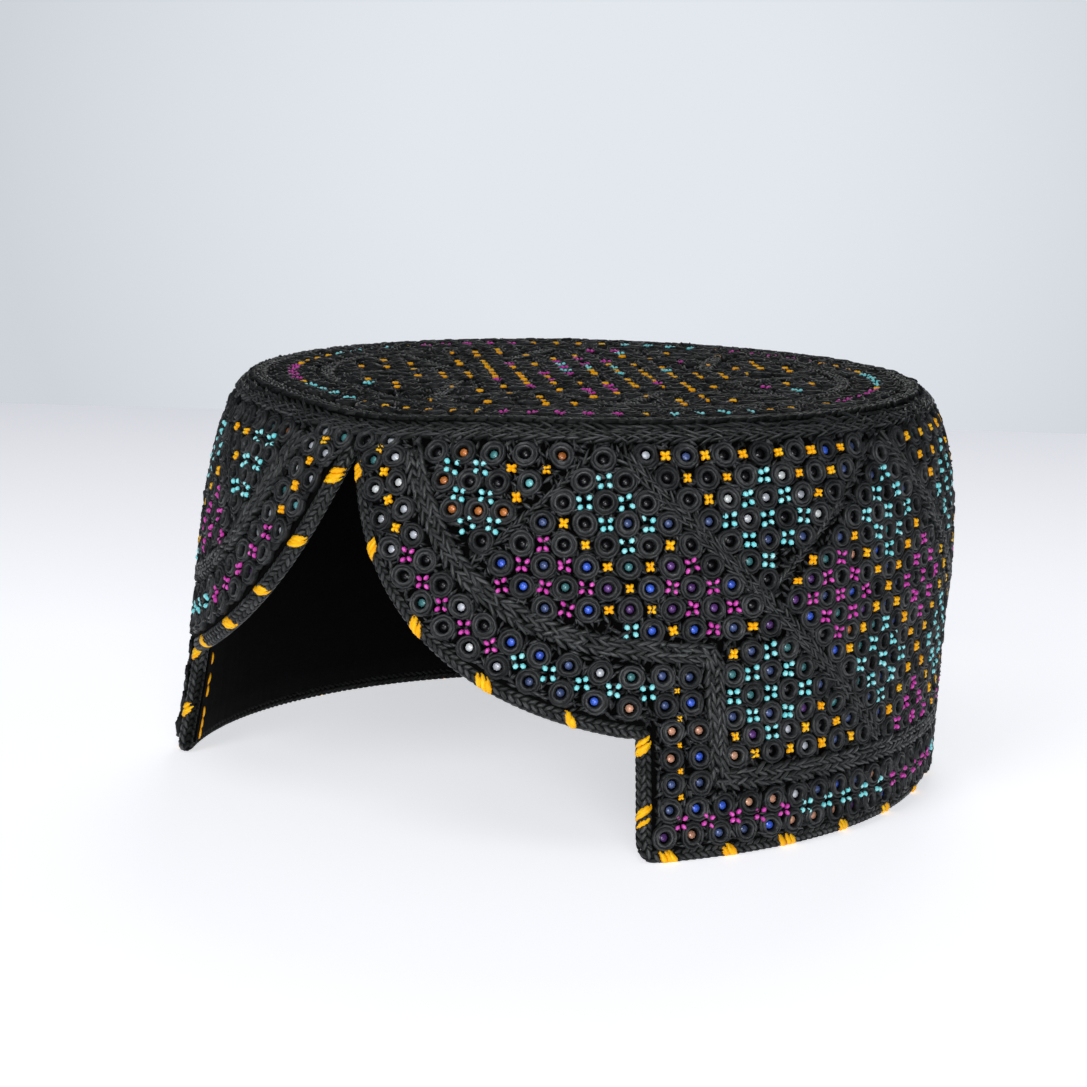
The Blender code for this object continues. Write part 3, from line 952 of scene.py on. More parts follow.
# painted shadow: below this height the side of the piping that faces into the arch is made darker, as it
# lies in the steps' shadow
STEP_SHADE_HEIGHT = 21.0
for seat in piping_seats:
    for row in range(PLAIT_ROWS):
        side = -1 if row % 2 else 1
        jitter = piping_work.random.normal(0.0, 0.06, 2)
        spot = round_the_piping(seat, 2 * math.pi * (row + 0.5) / PLAIT_ROWS, PLAIT_RADIUS)
        points = spot.place(plait_leaf[0], 0.0, 1.0, side * (0.5 + jitter[0]))
        points = points + seat.north * (0.3 * side + jitter[1])
        points[:, 2] = np.maximum(points[:, 2], 0.02)
        in_painted_shadow = seat.at[2] < STEP_SHADE_HEIGHT and spot.out @ seat.out < 0.2
        darkest, lightest = (0.05, 0.15) if in_painted_shadow else (0.4, 0.9)
        shade = piping_work.random.uniform(darkest, lightest)
        piping_work.add(points, plait_leaf[1], shade, lay=plait_lay)
piping_work.make("plaited_piping", braid_silk, "black_braid", "edge_binding")

# %% Yellow threads round the piping
wrap_work = Needlework(16)
FINE_PITCH = 0.35
fine_seats = walk(edge_line, piping_seat, FINE_PITCH)
fine_points = np.array([seat.at for seat in fine_seats])


def wrap_thread(start, first_angle, sweep, advance, radius, thick):
    """A thread that goes round the piping on a slant, as a tube of five sides."""
    steps, sides = 12, 5
    points, lays = [], []
    for i in range(steps + 1):
        share = i / steps
        place = min(max(round((start + advance * share) / FINE_PITCH), 0), len(fine_seats) - 1)
        end = 0.15 + 0.85 * min(1.0, 2.6 * share, 2.6 * (1 - share))
        spot = round_the_piping(fine_seats[place], first_angle + sweep * share, radius)
        along = unit(spot.east * sweep * radius + spot.north * advance)
        across = np.cross(along, spot.out)
        for a in np.linspace(0, 2 * math.pi, sides, endpoint=False):
            points.append(spot.at + (across * math.cos(a) + spot.out * math.sin(a) * 0.8) * thick * end)
            # the third number is a height round the thread, so the side that lies on the piping gets
            # painted shade
            lays.append((a * 1.5, share * 3.0, 1.0 + math.sin(a)))
    points = np.array(points)
    points[:, 2] = np.maximum(points[:, 2], 0.0)
    wrap_work.add(points, tube_faces(steps + 1, sides), lay=np.array(lays))


RIM_WRAP_TURNS = (56.5, 65.5, 75.0, 86.3, 97.7, 110.0, 121.6, 133.2, 144.8, 156.4, 168.0)
rim_wraps = [(turn, BINDING_RADIUS) for turn in RIM_WRAP_TURNS]
RIGHT_WRAPS = [(1.9, 79.5), (6.7, 64.0), (16.0, 48.5), (27.0, 37.5), (39.5, 31.0), (50.0, 24.5),
               (52.0, 10.0)]
LEFT_WRAPS = [(2.0, 78.0), (7.0, 62.0), (13.5, 49.0), (23.0, 39.8), (34.5, 32.5), (49.4, 24.5),
              (51.8, 11.0)]
REACHES = (0.70, 1.0, 0.80)
WRAP_SWEEP, WRAP_ADVANCE, WRAP_RADIUS, WRAP_THICKNESS = -3.1, -3.6, 1.82, 0.75
for turn, height in RIGHT_WRAPS + rim_wraps + mirrored(LEFT_WRAPS + rim_wraps):
    gaps = np.linalg.norm(fine_points - band_point(turn, height, PIPING_INSIDE), axis=1)
    middle = float(np.argmin(gaps)) * FINE_PITCH
    for thread, usual_reach in enumerate(REACHES):
        jitter = wrap_work.random.normal(0.0, 1.0, 3)
        reach = usual_reach + 0.08 * jitter[0]
        start = middle + 1.8 * reach + (thread - 1.0) * 0.95 + 0.3 * jitter[1]
        first = -0.45 + 1.55 * reach
        wrap_thread(start, first, WRAP_SWEEP * reach, WRAP_ADVANCE * reach, WRAP_RADIUS,
                    WRAP_THICKNESS + 0.06 * jitter[2])

# running stitches on the lining inside the steps
dash = leaf_shape(3.2, 0.9, 0.4)
DASH_HEIGHTS, DASH_INSET = (4.2, 6.6, 9.4, 14.6, 17.6, 22.6), 7.4
LINING_FACE = -(BAND_THICKNESS + SEAT_GAP + LINING_THICKNESS) - 0.05
for side in (1, -1):
    for height in DASH_HEIGHTS:
        spot = band_seat(side * step_turn(height, DASH_INSET), height, LINING_FACE)
        inward = Seat(spot.at, -spot.east, spot.north, -spot.out)
        spin = wrap_work.random.normal(0.0, 0.2)
        # the dash's own points are its lay, so its foot gets painted shade
        wrap_work.add(inward.place(dash[0], 0.0, 1.0, spin), dash[1], lay=dash[0])
wrap_work.make("yellow_wraps", yellow_silk, "yellow_thread")

# %% [markdown]
# ## Where the rings go
#
# The rings stand in rows, each row moved by half a pitch, so that every four rings leave room for a
# cross. Their places follow from a few numbers for each triangle of the band: where the top ring is,
# how far apart the rings and the rows are. A ring that would sit on a braid is left out.

# %% Keeping clear of the braids
def line_points(line, seat_of=band_seat, closed=False):
    return np.array([seat.at for seat in walk(line, seat_of, 1.0, closed)])


def points_of_all(line):
    """The points of a slanting line in each of its places."""
    return [line_points(carry(line(i))) for i in range(3) for carry in (list, mirrored)]


free_edge_points = line_points(edge_line)
border_points = line_points(both_sides(border_line()))
slant_points, counter_points = points_of_all(slant_line), points_of_all(counter_line)


def distance(at, points):
    return float(np.sqrt(((points - at) ** 2).sum(axis=1)).min())


def fits_in_field(turn, height):
    """Whether a ring at this place clears the braids of the band."""
    at = band_point(turn, height)
    beside_border = 0.5 if turn < BORDER_STEP_TURN else 1.2
    if height > TOP_BRAID_HEIGHT - 2.2 or distance(at, border_points) < RING_RADIUS + beside_border:
        return False
    if min(distance(at, line) for line in slant_points) < RING_RADIUS - 0.4:
        return False
    return min(distance(at, line) for line in counter_points) > RING_RADIUS - 0.5


def cross_fits(turn, height):
    """Whether a cross beside a braid clears it."""
    at = band_point(turn, height)
    if height > TOP_BRAID_HEIGHT - 3.0 or distance(at, border_points) < 3.3:
        return False
    return min(distance(at, line) for line in slant_points + counter_points) > 2.8


def outside_border(turn, height):
    """Whether a place lies on the field's side of the border braid."""
    if turn < BORDER_STEP_TURN:
        return height > border_height(max(turn, BORDER_TOP_TURN))
    return height > BORDER_RIM and turn > border_turn(height)


print("the border braid runs through", len(border_points), "places")

# %% [markdown]
# The crosses change colour in blocks of three by three, with a row of yellow between the blocks. That
# is the counting rule which the embroiderer follows, so the script counts too.

# %% The ring places of each field
rings, crosses = [], []


def add_field(name, count_rows, ring_place, in_row, colour_of, keep):
    """Adds the rings of one field and the crosses between neighbours in a row."""
    placed = {}
    for i in range(count_rows):
        for j in range(in_row(i)):
            turn, height = ring_place(i, j)
            if keep(turn, height) and fits_in_field(turn, height):
                placed[i, j] = (turn, height)
    for (i, j), (turn, height) in placed.items():
        rings.append((turn, height, name + ("_top" if i < 5 else "_low" if i > 8 else "")))
    for i in range(count_rows):
        for j in range(-1, in_row(i)):
            (turn, height), (other, _) = ring_place(i, j), ring_place(i, j + 1)
            middle = ((turn + other) / 2, height)
            both = (i, j) in placed and (i, j + 1) in placed
            one = (i, j) in placed or (i, j + 1) in placed
            if both or (one and keep(*middle) and cross_fits(*middle)):
                crosses.append((*middle, colour_of(i, j)))
    return len(placed)


def peak_colour(u, v):
    if u % 4 == 3 or v % 4 == 3:
        return "yellow"
    return "turquoise" if (u // 4 + v // 4) % 2 == 0 else "magenta"


def first_peak_place(i, j):
    settle = min(1.0, (14 - i) / 2) if i > 8 else 0.0
    turn = 39.75 + 0.30 * i + 0.0115 * i * i + 5.82 * (j - i / 2)
    return turn, 84.3 - 4.28 * i - 0.0145 * i * i - 1.1 * settle


def first_peak_colour(i, j):
    middle = first_peak_place(i, j)[0] + 2.91
    if i > 8 and middle > 60.0:
        aside = round(2 * (middle - 66.8 - 0.4 * (i - 9)) / 5.82)
        return "turquoise" if abs(aside) + abs(i - 11) < 3 else "yellow"
    u, v = j, i - 1 - j
    return peak_colour(u, v if u > 7 else v + 1)


def in_first_peak(turn, height):
    return counter_turn(0, height) < turn < slant_turn(0, height) and outside_border(turn, height)


def later_peak_place(index):
    start = FIRST_PEAK_TURN + PEAK_PITCH * index
    return lambda i, j: (start + 0.2 + 0.05 * i + 0.013 * i * i + 5.2 * (j - i / 2), 82.8 - 4.13 * i)


def in_later_peak(index):
    def keep(turn, height):
        left = slant_turn(index - 1, height)
        if height > COUNTER_FOOT:
            left = max(counter_turn(index, height), left)
        return left < turn < min(slant_turn(index, height), 178.2) and height > BORDER_RIM
    return keep


def hanging_place(index):
    start = 63.6 + PEAK_PITCH * index
    pitch = 5.95 if index == 0 else 5.6
    return lambda i, j: (start + 0.22 * i + pitch * (j - (6 - i) / 2), 85.0 - 4.4 * i)


def hanging_colour(i, j):
    q, p = j, 5 - i - j
    return "turquoise" if p < 3 and q < 3 else "yellow"


def in_hanging(index):
    return lambda turn, height: slant_turn(index, height) < turn < counter_turn(index + 1, height)


found = add_field("first_peak", 15, first_peak_place, lambda i: i + 1, first_peak_colour, in_first_peak)
print("rings under the first peak:", found)
for index in (1, 2):
    found = add_field("later_peak", 16, later_peak_place(index), lambda i: i + 1,
                      lambda i, j: peak_colour(j, i - 1 - j), in_later_peak(index))
    print("rings under peak", index + 1, ":", found)
for index in (0, 1):
    found = add_field("hanging", 7, hanging_place(index), lambda i: 7 - i, hanging_colour,
                      in_hanging(index))
    print("rings between peaks:", found)

# %% The field beside the arch
placed = {}
for i in range(4):
    for j in range(5 - i):
        turn = 15.0 + 1.95 * i + (4.2 - 0.28 * i) * j + 0.03 * j ** 3 + (3.0 if i == 3 else 0.0)
        height = 84.9 - 5.6 * i - 0.13 * i * i
        clear = distance(band_point(turn, height), border_points) > RING_RADIUS + 1.2
        if turn < counter_turn(0, height) + 0.6 and outside_border(turn, height) and clear:
            placed[i, j] = (turn, height)
for (i, j), (turn, height) in placed.items():
    rings.append((turn, height, "arch_side"))
    if (i, j + 1) in placed:
        middle = (turn + placed[i, j + 1][0]) / 2
        crosses.append((middle + 0.7, height - 2.9, "turquoise" if j < 2 else "yellow"))
print("rings beside the arch:", len(placed))

# %% The back of the band
back_rings, back_crosses, placed = [], [], {}
BACK_ROWS, BACK_PITCH = 16, 5.35
for i in range(BACK_ROWS):
    for j in range(-9, 10):
        turn, height = 180.0 + BACK_PITCH * (j + (0.5 if i % 2 else 0.0)), 84.6 - 4.3 * i
        inside = slant_turn(2, height) < turn < 360.0 - slant_turn(2, height)
        if inside and fits_in_field(turn, height):
            placed[i, j] = (turn, height)
for (i, j), (turn, height) in placed.items():
    back_rings.append((turn, height, "back"))
    if (i, j + 1) in placed:
        # counted from the lowest cross, up to the left and up to the right
        middle = 2 * j + 1 + (1 if i % 2 else 0)
        level_up = BACK_ROWS - 4 - i
        u, v = (level_up + middle) // 2, (level_up - middle) // 2
        back_crosses.append((turn + BACK_PITCH / 2, height, peak_colour(u % 8, v % 8)))
print("rings at the back:", len(back_rings))

# %% [markdown]
# The border keeps two rows of rings between the piping and its braid. Both lines are known, so a ring
# is placed at a share of the way from one to the other, and a cross lies between every two pairs.

# %% Rings of the border
INNER_SHARE, OUTER_SHARE = 0.345, 0.685
ARCH_PAIRS = 13


def blend(first, second, share):
    return tuple(a + (b - a) * share for a, b in zip(first, second))


def places_along(line, wanted):
    """Places at these distances in millimetres along a line."""
    return places_at(line, lengths_along(np.array([band_point(*place) for place in line])), wanted)


low_arch = [p for p in arch_line(0.0) if p[1] < 80.0]
edge_arch = [(0.9, 84.6)] + low_arch + [(STEP_TURN, arch_height(STEP_TURN))]
border_arch = [(t, border_height(t)) for t in np.linspace(11.5, BORDER_STEP_TURN, 40)]
steps = np.arange(ARCH_PAIRS)
lows = places_along(edge_arch, 2.9 + 7.55 * steps + 0.021 * steps ** 2)
highs = places_along(border_arch, 5.3 * steps + 0.037 * steps ** 2)
pairs = [((2.3, 86.6), (6.6, 87.0))]
pairs += [(blend(low, high, INNER_SHARE), blend(low, high, OUTER_SHARE))
          for low, high in zip(lows, highs)]
corner_from = len(pairs)
pairs += [((52.2, 33.2), (51.1, 39.3)), ((52.2, 33.2), (55.8, 33.5))]
for height in (27.6, 22.0, 16.5):
    low = (step_turn(min(height, 26.0), 0.0), height)
    high = (border_turn(height), height)
    pairs.append((blend(low, high, 0.40), blend(low, high, 0.76)))
RIM_PAIRS = 32
rim_start = 55.1
rim_pitch = (180.0 - rim_start) / (RIM_PAIRS - 0.5)
rim_turns = [rim_start + rim_pitch * n for n in range(RIM_PAIRS)]
rim_pairs = [((turn, 5.6), (turn, 11.1)) for turn in rim_turns]
border_places = {place for pair in pairs + rim_pairs for place in pair} | {(54.9, 39.2)}
border_rings, border_crosses = [], []
for turn, height in sorted(border_places):
    part = "_top" if height > 62 else "_middle" if height > 48 else ""
    border_rings.append((turn, height, "border" + part))
colours = ["yellow"] * 4 + ["magenta"] * 5 + ["turquoise"] * (corner_from - 9)
for colour, here, there in zip(colours, pairs, pairs[1:]):
    turn = sum(place[0] for place in here + there) / 4
    height = sum(place[1] for place in here + there) / 4
    border_crosses.append((turn, height, colour))
step_crosses = [(53.4, 36.3), (54.4, 30.3), (55.0, 24.7), (55.7, 19.2), (56.4, 13.8)]
for n in range(RIM_PAIRS):
    turn = rim_start + rim_pitch * (n + 0.5)
    border_crosses.append((turn, 8.35, "magenta" if (n // 5) % 2 == 0 else "turquoise"))
print("rings in the border:", 2 * len(border_rings), "crosses:", 2 * len(border_crosses) - 1)

# %% [markdown]
# ## Rings, mirrors and crosses
#
# A ring is turned like a bead, with two ridges for its coils of floss, then squeezed, tilted and
# turned a little at random, since no two hand-made rings are alike. The mirror under it is a shallow
# dome. Crosses are four plump stitches, which meet for yellow and stand apart for the other colours.

# %% Shapes of the crosses
def four_stitches(length, width, rise, reach):
    shapes = []
    for k in range(4):
        angle = math.pi / 4 + math.pi / 2 * k
        leaf = leaf_shape(length, width, rise)
        shapes.append(moved(leaf, reach * math.cos(angle), reach * math.sin(angle), angle - math.pi / 2))
    return shapes


# the colour of each kind of mirror, and how often it is drawn in each field
MIRRORS = {
    "dark": (0.012, 0.012, 0.016), "silver": (0.85, 0.90, 1.0), "blue": (0.05, 0.16, 1.0),
    "slate": (0.08, 0.13, 0.34), "teal": (0.08, 0.32, 0.34), "sky": (0.22, 0.75, 0.80),
    "violet": (0.16, 0.05, 0.28), "peach": (1.0, 0.48, 0.30), "amber": (0.70, 0.22, 0.04),
}
CHANCES = {
    "first_peak_top": {"dark": 9, "slate": 1},
    "first_peak": {"blue": 7, "violet": 4, "dark": 3, "slate": 3, "teal": 1},
    "first_peak_low": {"teal": 3, "dark": 5, "silver": 2, "violet": 2, "peach": 1, "slate": 2},
    "later_peak_top": {"dark": 6, "slate": 2, "teal": 1},
    "later_peak": {"dark": 8, "blue": 3, "violet": 3, "teal": 2, "slate": 4, "peach": 1},
    "later_peak_low": {"dark": 8, "blue": 2, "teal": 2, "slate": 3, "amber": 2},
    "hanging_top": {"dark": 11, "silver": 4, "blue": 1, "slate": 3, "sky": 1, "peach": 1},
    "hanging": {"dark": 6, "slate": 2, "teal": 1},
    "arch_side": {"dark": 7, "peach": 1, "sky": 1, "amber": 3, "teal": 2},
    "back": {"dark": 12, "silver": 3, "blue": 3, "teal": 2, "violet": 3, "peach": 1},
    "border_top": {"silver": 5, "teal": 2, "dark": 1, "sky": 1},
    "border_middle": {"dark": 4, "violet": 2, "silver": 1, "teal": 1},
    "border": {"blue": 4, "slate": 4, "teal": 2, "peach": 3, "silver": 1, "violet": 1},
    "crown": {"dark": 16, "slate": 2, "teal": 1, "silver": 1},
}


mirror_work = Needlework(30)
cross_works = {"yellow": Needlework(31), "turquoise": Needlework(32), "magenta": Needlework(33)}


def sew_ring(work, seat, field, size=1.03, rise=1.15):
    random = work.random
    phases = random.uniform(0.0, 2 * math.pi, 4)
    waves = random.normal(0.0, 1.0, 4)
    wobble = 1.0 + 0.035 * waves[0] * np.cos(2 * ring_angles + phases[0])
    wobble = wobble + 0.020 * waves[1] * np.cos(3 * ring_angles + phases[1])
    heights = 1.0 + 0.12 * waves[2] * np.cos(ring_angles + phases[2])
    heights = heights + 0.10 * waves[3] * np.cos(4 * ring_angles + phases[3])
    points = ring_shape[0] * np.column_stack((wobble, wobble, np.clip(heights, 0.7, 1.3) * rise))
    off_centre = random.normal(0.0, 0.10, 2)
    inner = (np.hypot(ring_shape[0][:, 0], ring_shape[0][:, 1]) < 2.0)[:, None]
    points[:, :2] += inner * off_centre
    spin = random.uniform(0.0, 2 * math.pi)
    # painted shade: rings on the crown are darker, so that the lamps above can light the crown's crosses
    # while its silk stays dark
    shade = random.uniform(0.30, 0.75) if field == "crown" else random.uniform(0.45, 1.0)
    work.add(seat.place(points, 0.0, size, spin), ring_shape[1], shade, lay=ring_lay)
    names, weights = zip(*CHANCES[field].items())
    name = names[mirror_work.random.choice(len(names), p=np.array(weights) / sum(weights))]
    lean = mirror_work.random.normal(0.0, 0.10, 2)
    disc = mirror_shape[0].copy()
    disc[:, 2] += disc[:, 0] * lean[0] + disc[:, 1] * lean[1]
    glow = mirror_work.random.uniform(0.7, 1.15)
    tint = tuple(min(1.0, c * glow) for c in MIRRORS[name])
    c, s = math.cos(spin), math.sin(spin)
    disc[:, :2] += off_centre @ np.array(((c, s), (-s, c)))
    shine = 0.3 if name == "dark" else 1.0
    mirror_work.add(seat.place(disc, 0.0, size), mirror_shape[1], painted_mirror_shadow * shine, tint)


yellow_cross = joined(*four_stitches(1.4, 1.0, 0.80, 0.60))
seed_stitches = {"turquoise": four_stitches(1.45, 1.25, 0.70, 1.36),
                 "magenta": four_stitches(1.5, 1.05, 0.66, 1.22)}
LIFTED = 0.55


def sew_cross(seat, colour, size=1.0, lift=LIFTED):
    work = cross_works[colour]
    spin = work.random.normal(0.0, 0.14)
    # the points are the lay, so the feet of the stitches get painted shade
    if colour == "yellow":
        points = yellow_cross[0] * (1.0 + work.random.normal(0.0, 0.10, 3))
        work.add(seat.place(points, lift, size, spin), yellow_cross[1], lay=points * 2.0)
        return
    for points, faces in seed_stitches[colour]:
        nudge = work.random.normal(0.0, 0.16, 3)
        shifted = points + np.array((nudge[0], nudge[1], 0.0))
        work.add(seat.place(shifted, lift + abs(nudge[2]), size, spin), faces, lay=points * 2.0)


print("a yellow cross has", len(yellow_cross[1]), "faces")

# %% Sewing the band
field_works = {"right": Needlework(21), "left": Needlework(22)}
for turn, height, field in rings:
    sew_ring(field_works["right"], band_seat(turn, height), field)
    sew_ring(field_works["left"], band_seat(-turn, height), field)
for turn, height, field in back_rings:
    sew_ring(field_works["right" if turn <= 180.0 else "left"], band_seat(turn, height), field)
for side, work in field_works.items():
    work.make(f"thread_rings_{side}", charcoal_silk, "black_braid")
border_ring_work = Needlework(23)
for turn, height, field in border_rings:
    sew_ring(border_ring_work, band_seat(turn, height), field)
    sew_ring(border_ring_work, band_seat(-turn, height), field)
border_ring_work.make("thread_rings_border", charcoal_silk, "black_braid")
for turn, height, colour in crosses + border_crosses:
    sew_cross(band_seat(turn, height), colour)
    if turn < 179.0:
        sew_cross(band_seat(-turn, height), colour)
for turn, height, colour in back_crosses:
    sew_cross(band_seat(turn, height), colour)
for turn, height in step_crosses + mirrored(step_crosses):
    sew_cross(band_seat(turn, height), "yellow", 0.62)

# %% [markdown]
# ## The crown
#
# The crown repeats the band's idea: two rows of rings between its edge braid and the inner braid,
# then a star, with rings in slanting rows inside and around it.

# %% Rings and crosses of the crown
# painted shade: the crown's rings are dimmed as well
crown_ring_work = Needlework(24, 0.75)
crown_points = [line_points(line, crown_seat, True) for line, width in CROWN_LINES[1:]]
EDGE_PAIRS = 72
OUTER_RINGS, CROSSES_BETWEEN, INNER_RINGS = 0.925, 0.888, 0.848
CROWN_CROSS_SIZE, CROWN_CROSS_LIFT, CROWN_CROSS_CHANCE = 0.72, 0.9, 0.8
EDGE_COLOURS = ["yellow"] * 4 + ["magenta"] * 5 + ["yellow"] + ["turquoise"] * 4


def edge_seats(n):
    turn = 360.0 * n / EDGE_PAIRS
    return [crown_seat(*crown_place(turn, share)) for share in (OUTER_RINGS, INNER_RINGS)]


for n in range(EDGE_PAIRS):
    for seat, size in zip(edge_seats(n), (1.0, 0.95)):
        sew_ring(crown_ring_work, seat, "crown", size, 1.5)
    turn = 360.0 * n / EDGE_PAIRS + 180.0 / EDGE_PAIRS
    sew_cross(crown_seat(*crown_place(turn, CROSSES_BETWEEN)), EDGE_COLOURS[n % len(EDGE_COLOURS)],
              CROWN_CROSS_SIZE, CROWN_CROSS_LIFT)
placed = {}
CROWN_PITCH, CROWN_ROW = 8.7, 4.3
for i in range(-14, 15):
    for j in range(-8, 9):
        x, y = CROWN_PITCH * (j + (0.5 if i % 2 else 0.0)), CROWN_ROW * i
        at = crown_seat(x, y).at
        clear = min(distance(at, line) for line in crown_points) > RING_RADIUS + 0.2
        if crown_share(x, y) < RING_BRAID_SHARE and clear:
            placed[i, j] = (x, y)
for (i, j), (x, y) in placed.items():
    sew_ring(crown_ring_work, crown_seat(x, y), "crown", 0.97, 1.5)
    draw = crown_ring_work.random.uniform(0.0, 1.0)
    if (i, j + 1) in placed and draw < CROWN_CROSS_CHANCE:
        rare = 0.16 if abs(x * right.x + y * right.y) < 15.0 else 0.05
        colour = "turquoise" if draw < rare else "magenta" if draw < 2.2 * rare else "yellow"
        sew_cross(crown_seat(x + CROWN_PITCH / 2, y), colour, CROWN_CROSS_SIZE, CROWN_CROSS_LIFT)
crown_ring_work.make("thread_rings_crown", charcoal_silk, "black_braid")
mirror_work.make("small_mirrors", mirror_finish, "small_mirror")
cross_works["yellow"].make("yellow_crosses", yellow_silk, "yellow_thread")
cross_works["turquoise"].make("turquoise_crosses", turquoise_silk, "turquoise_thread")
cross_works["magenta"].make("magenta_crosses", magenta_silk, "magenta_thread")

# %% [markdown]
# ## Filling threads
#
# Between the rings the real cap shows no bare cloth: short dark stitches hold each ring down and fill
# the corners. They are slivers strewn round every ring and over the cloth between the rings, with a
# second lay where there is more room and one row beside the piping.

# %% Holding stitches
filling_work = Needlework(40)
uniform, normal = filling_work.random.uniform, filling_work.random.normal
sliver, sliver_faces = sliver_shape(3.1, 1.0, 0.85)
sliver_lay = strand_lay(sliver)
MIRROR_CLEARANCE = 2.35
ring_seats = [band_seat(side * turn, height) for turn, height, _ in rings + border_rings
              for side in (1, -1)]
ring_seats += [band_seat(turn, height) for turn, height, _ in back_rings]
ring_seats += [crown_seat(x, y) for x, y in placed.values()]
ring_seats += [seat for n in range(EDGE_PAIRS) for seat in edge_seats(n)]
ring_middles = KDTree(len(ring_seats))
for number, seat in enumerate(ring_seats):
    ring_middles.insert(seat.at, number)
ring_middles.balance()


def on_cloth(turn, height):
    """Whether a place of the band lies inside the piping of the free edge."""
    inset = 2 * BINDING_RADIUS + 0.2
    corner = arch_height(STEP_TURN)
    above = height > arch_height(min(abs(turn), STEP_TURN)) + inset
    beside = abs(turn) > step_turn(min(height, corner), inset) and height > inset
    clearance = BINDING_RADIUS + 0.6
    return (above or beside) and distance(band_point(turn, height), free_edge_points) > clearance


def lay_filling(seat, spin, lift):
    """One sliver, unless it would cover the mirror of a ring."""
    if ring_middles.find(seat.at)[2] >= MIRROR_CLEARANCE:
        placed_points = seat.place(sliver, lift, uniform(0.65, 1.15), spin)
        filling_work.add(placed_points, sliver_faces, uniform(0.1, 1.0), lay=sliver_lay)


STITCHES_PER_RING = 7
for seat in ring_seats:
    for k in range(STITCHES_PER_RING):
        angle = uniform(0.0, 2 * math.pi)
        reach = RING_RADIUS + uniform(0.0, 0.9)
        at = seat.at + seat.east * math.cos(angle) * reach + seat.north * math.sin(angle) * reach
        if distance(at, free_edge_points) > BINDING_RADIUS + 1.2:
            spot = Seat(at, seat.east, seat.north, seat.out)
            lay_filling(spot, angle + normal(0.0, 0.5), uniform(0.0, 0.4))
FILL_TURN, FILL_RISE, ROOMY = 1.12, 1.6, 4.0
for column in range(int(360 / FILL_TURN)):
    for row in range(int(BAND_TOP / FILL_RISE)):
        turn = (column + uniform(0, 1)) * FILL_TURN - 180.0
        height = (row + uniform(0, 1)) * FILL_RISE
        if on_cloth(turn, height):
            seat = band_seat(turn, height)
            lay_filling(seat, uniform(0, math.pi), uniform(0.0, 0.35))
            if ring_middles.find(seat.at)[2] > ROOMY:
                lay_filling(seat, uniform(0, math.pi), uniform(0.2, 0.6))
for seat in walk(both_sides(free_edge(2 * BINDING_RADIUS + 0.7)), band_seat, 0.9):
    jitter = normal(0.0, 1.0, 3)
    spot = Seat(seat.at + seat.east * 0.35 * jitter[0], seat.east, seat.north, seat.out)
    lay_filling(spot, 0.45 * jitter[1], 0.5 + 0.1 * jitter[2])
CROWN_FILL = 2.0
for column in range(-40, 40):
    for row in range(-40, 40):
        x, y = (column + uniform(0, 1)) * CROWN_FILL, (row + uniform(0, 1)) * CROWN_FILL
        if crown_share(x, y) < 0.98:
            lay_filling(crown_seat(x, y), uniform(0, math.pi), uniform(-0.05, 0.3))
filling_work.make("holding_stitches", charcoal_silk, "black_braid")

# %% [markdown]
# ## Floor, backdrop and light
#
# The photograph shows a near-white floor that meets a pale backdrop far behind the cap, under soft
# light. The lamp behind the camera gives most of it, one before the arch shines into the arch, a small
# one above lights the crown, and one at the back keeps the far side clear. The floor glows by itself,
# so that it comes out nearly white while the lamps stay weak enough for the dark silk.

# %% Floor
FLOOR_LEFT, FLOOR_RIGHT = Vector((-0.585, 0.325, 0.0)), Vector((-0.175, 0.599, 0.0))
FLOOR_NEAR, FLOOR_FAR = (0.85, 0.86, 0.89), (0.58, 0.59, 0.63)
FLOOR_WIDTH, FLOOR_DEPTH, FLOOR_GLOW = 8.0, 6.0, 0.70
along_edge = (FLOOR_RIGHT - FLOOR_LEFT).normalized()
to_room = Vector((along_edge.y, -along_edge.x, 0.0))
edge_middle = (FLOOR_LEFT + FLOOR_RIGHT) / 2
left_end, right_end = [edge_middle + along_edge * side * FLOOR_WIDTH / 2 for side in (-1, 1)]
corners = [left_end, left_end + to_room * FLOOR_DEPTH, right_end + to_room * FLOOR_DEPTH, right_end]

pale = Finish("pale_floor")
# painted shade: the floor darkens from FLOOR_NEAR to FLOOR_FAR away from the camera, towards its far edge
# under the backdrop
away = pale.dot(pale.place, tuple(-to_room))
shade = pale.mix(pale.share_of(away, 0.12, 0.62), FLOOR_NEAR, FLOOR_FAR)
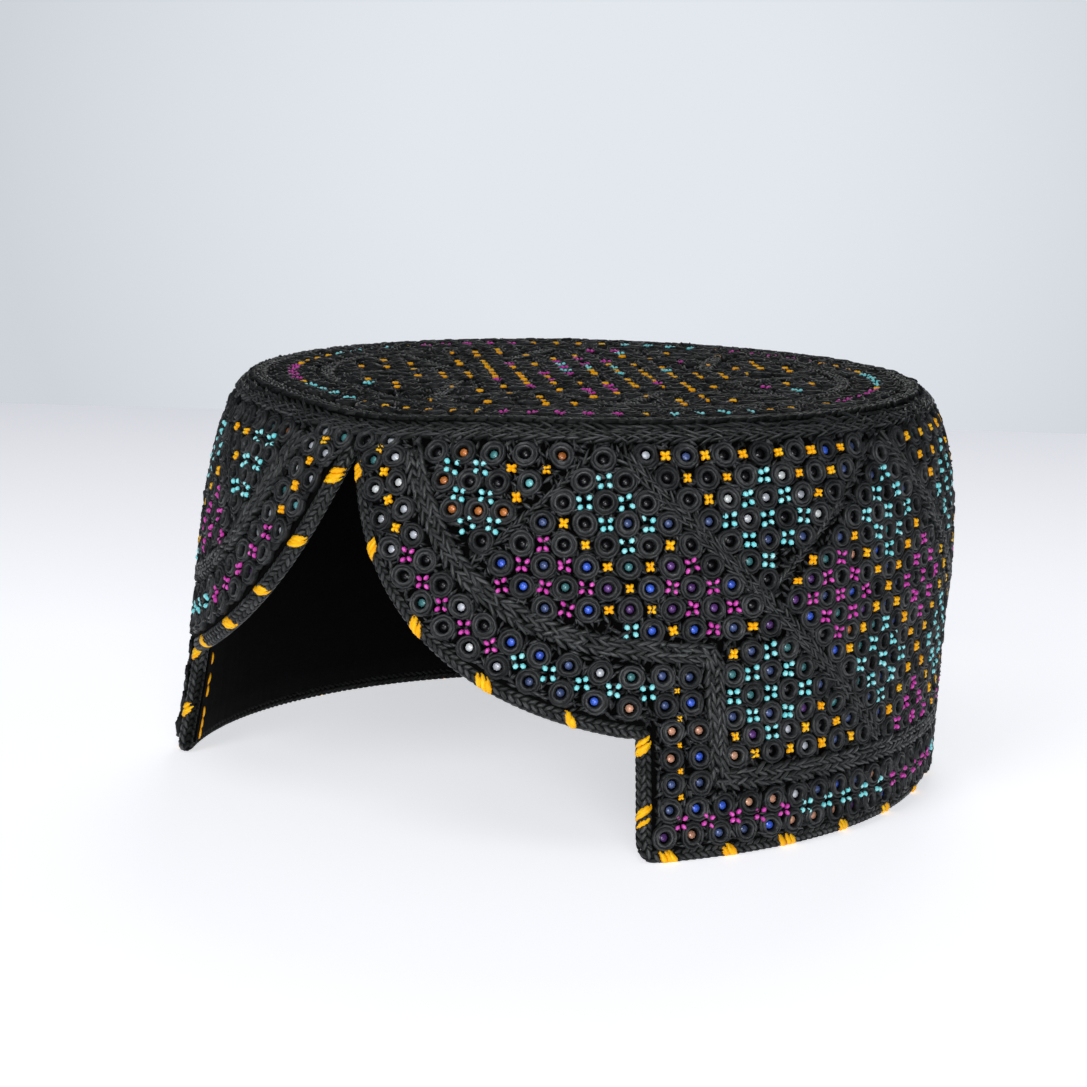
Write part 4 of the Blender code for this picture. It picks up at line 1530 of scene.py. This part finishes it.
# the glow is painted light: the floor lights itself, which also makes the shadows on it lighter
pale_floor = pale.surface(Base_Color=shade, Roughness=0.6, Specular_IOR_Level=0.2, Emission_Color=shade,
                          Emission_Strength=FLOOR_GLOW)
mesh = bpy.data.meshes.new("floor")
mesh.from_pydata(corners, [], [(0, 1, 2, 3)])
mesh.materials.append(pale_floor)
floor = bpy.data.objects.new("floor", mesh)
bpy.context.scene.collection.objects.link(floor)
floor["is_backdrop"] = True
print("floor laid")

# %% Lights
CAP_MIDDLE = Vector((0, 0, 0.04))
LAMPS = (
    ("low_front_lamp", (0.94, -1.04, 0.35), CAP_MIDDLE, 0.6, 8.5),
    ("arch_lamp", (0.1, -1.2, 0.8), CAP_MIDDLE, 0.6, 3.8),
    ("top_lamp", (0.12, -0.3, 0.62), Vector((0.03, -0.06, 0.04)), 0.35, 0.5),
    ("back_lamp", (-0.5, 0.9, 0.8), CAP_MIDDLE, 0.6, 3.4),
)
for name, place, aim, size, power in LAMPS:
    data = bpy.data.lights.new(name, "AREA")
    data.shape = "DISK"
    data.size = size
    data.energy = power
    lamp = bpy.data.objects.new(name, data)
    bpy.context.scene.collection.objects.link(lamp)
    lamp.location = place
    lamp.rotation_euler = (aim - Vector(place)).to_track_quat("-Z", "Y").to_euler()
print("lamps placed:", len(LAMPS))

# %% [markdown]
# The backdrop is the world itself. It has to look nearly white and yet give little light, or the dark
# silk would turn grey, so the Light Path node parts what the camera sees from what lights the cap.

# %% The world
BRIGHT_SPOT = (forward + right * 0.02 + upward * 0.14).normalized()
world = bpy.data.worlds.new("studio")
net = Net(world)
soft = net.node("Background", None, {"Color": (0.85, 0.9, 1.0, 1.0), "Strength": 0.10})
towards = net.dot(net.node("TexCoord", out="Generated"), BRIGHT_SPOT)
# painted light: the backdrop the camera sees is brightest round BRIGHT_SPOT, a painted pool of light, and
# darker away from it
tone = net.mix(net.share_of(towards, 0.978, 0.998), (0.62, 0.655, 0.70), (0.765, 0.805, 0.855))
seen = net.node("Background", None, {"Color": tone})
camera_sees = net.node("LightPath", out="Is Camera Ray")
net.end("World", net.node("MixShader", None, {0: camera_sees, 1: soft, 2: seen}))
bpy.context.scene.world = world
bpy.context.scene.view_settings.view_transform = "Standard"
print("world made")

# %% Sizes and the end
low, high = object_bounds()
print("visual box in mm:", [round(v / MM, 1) for v in (*low, *high)])
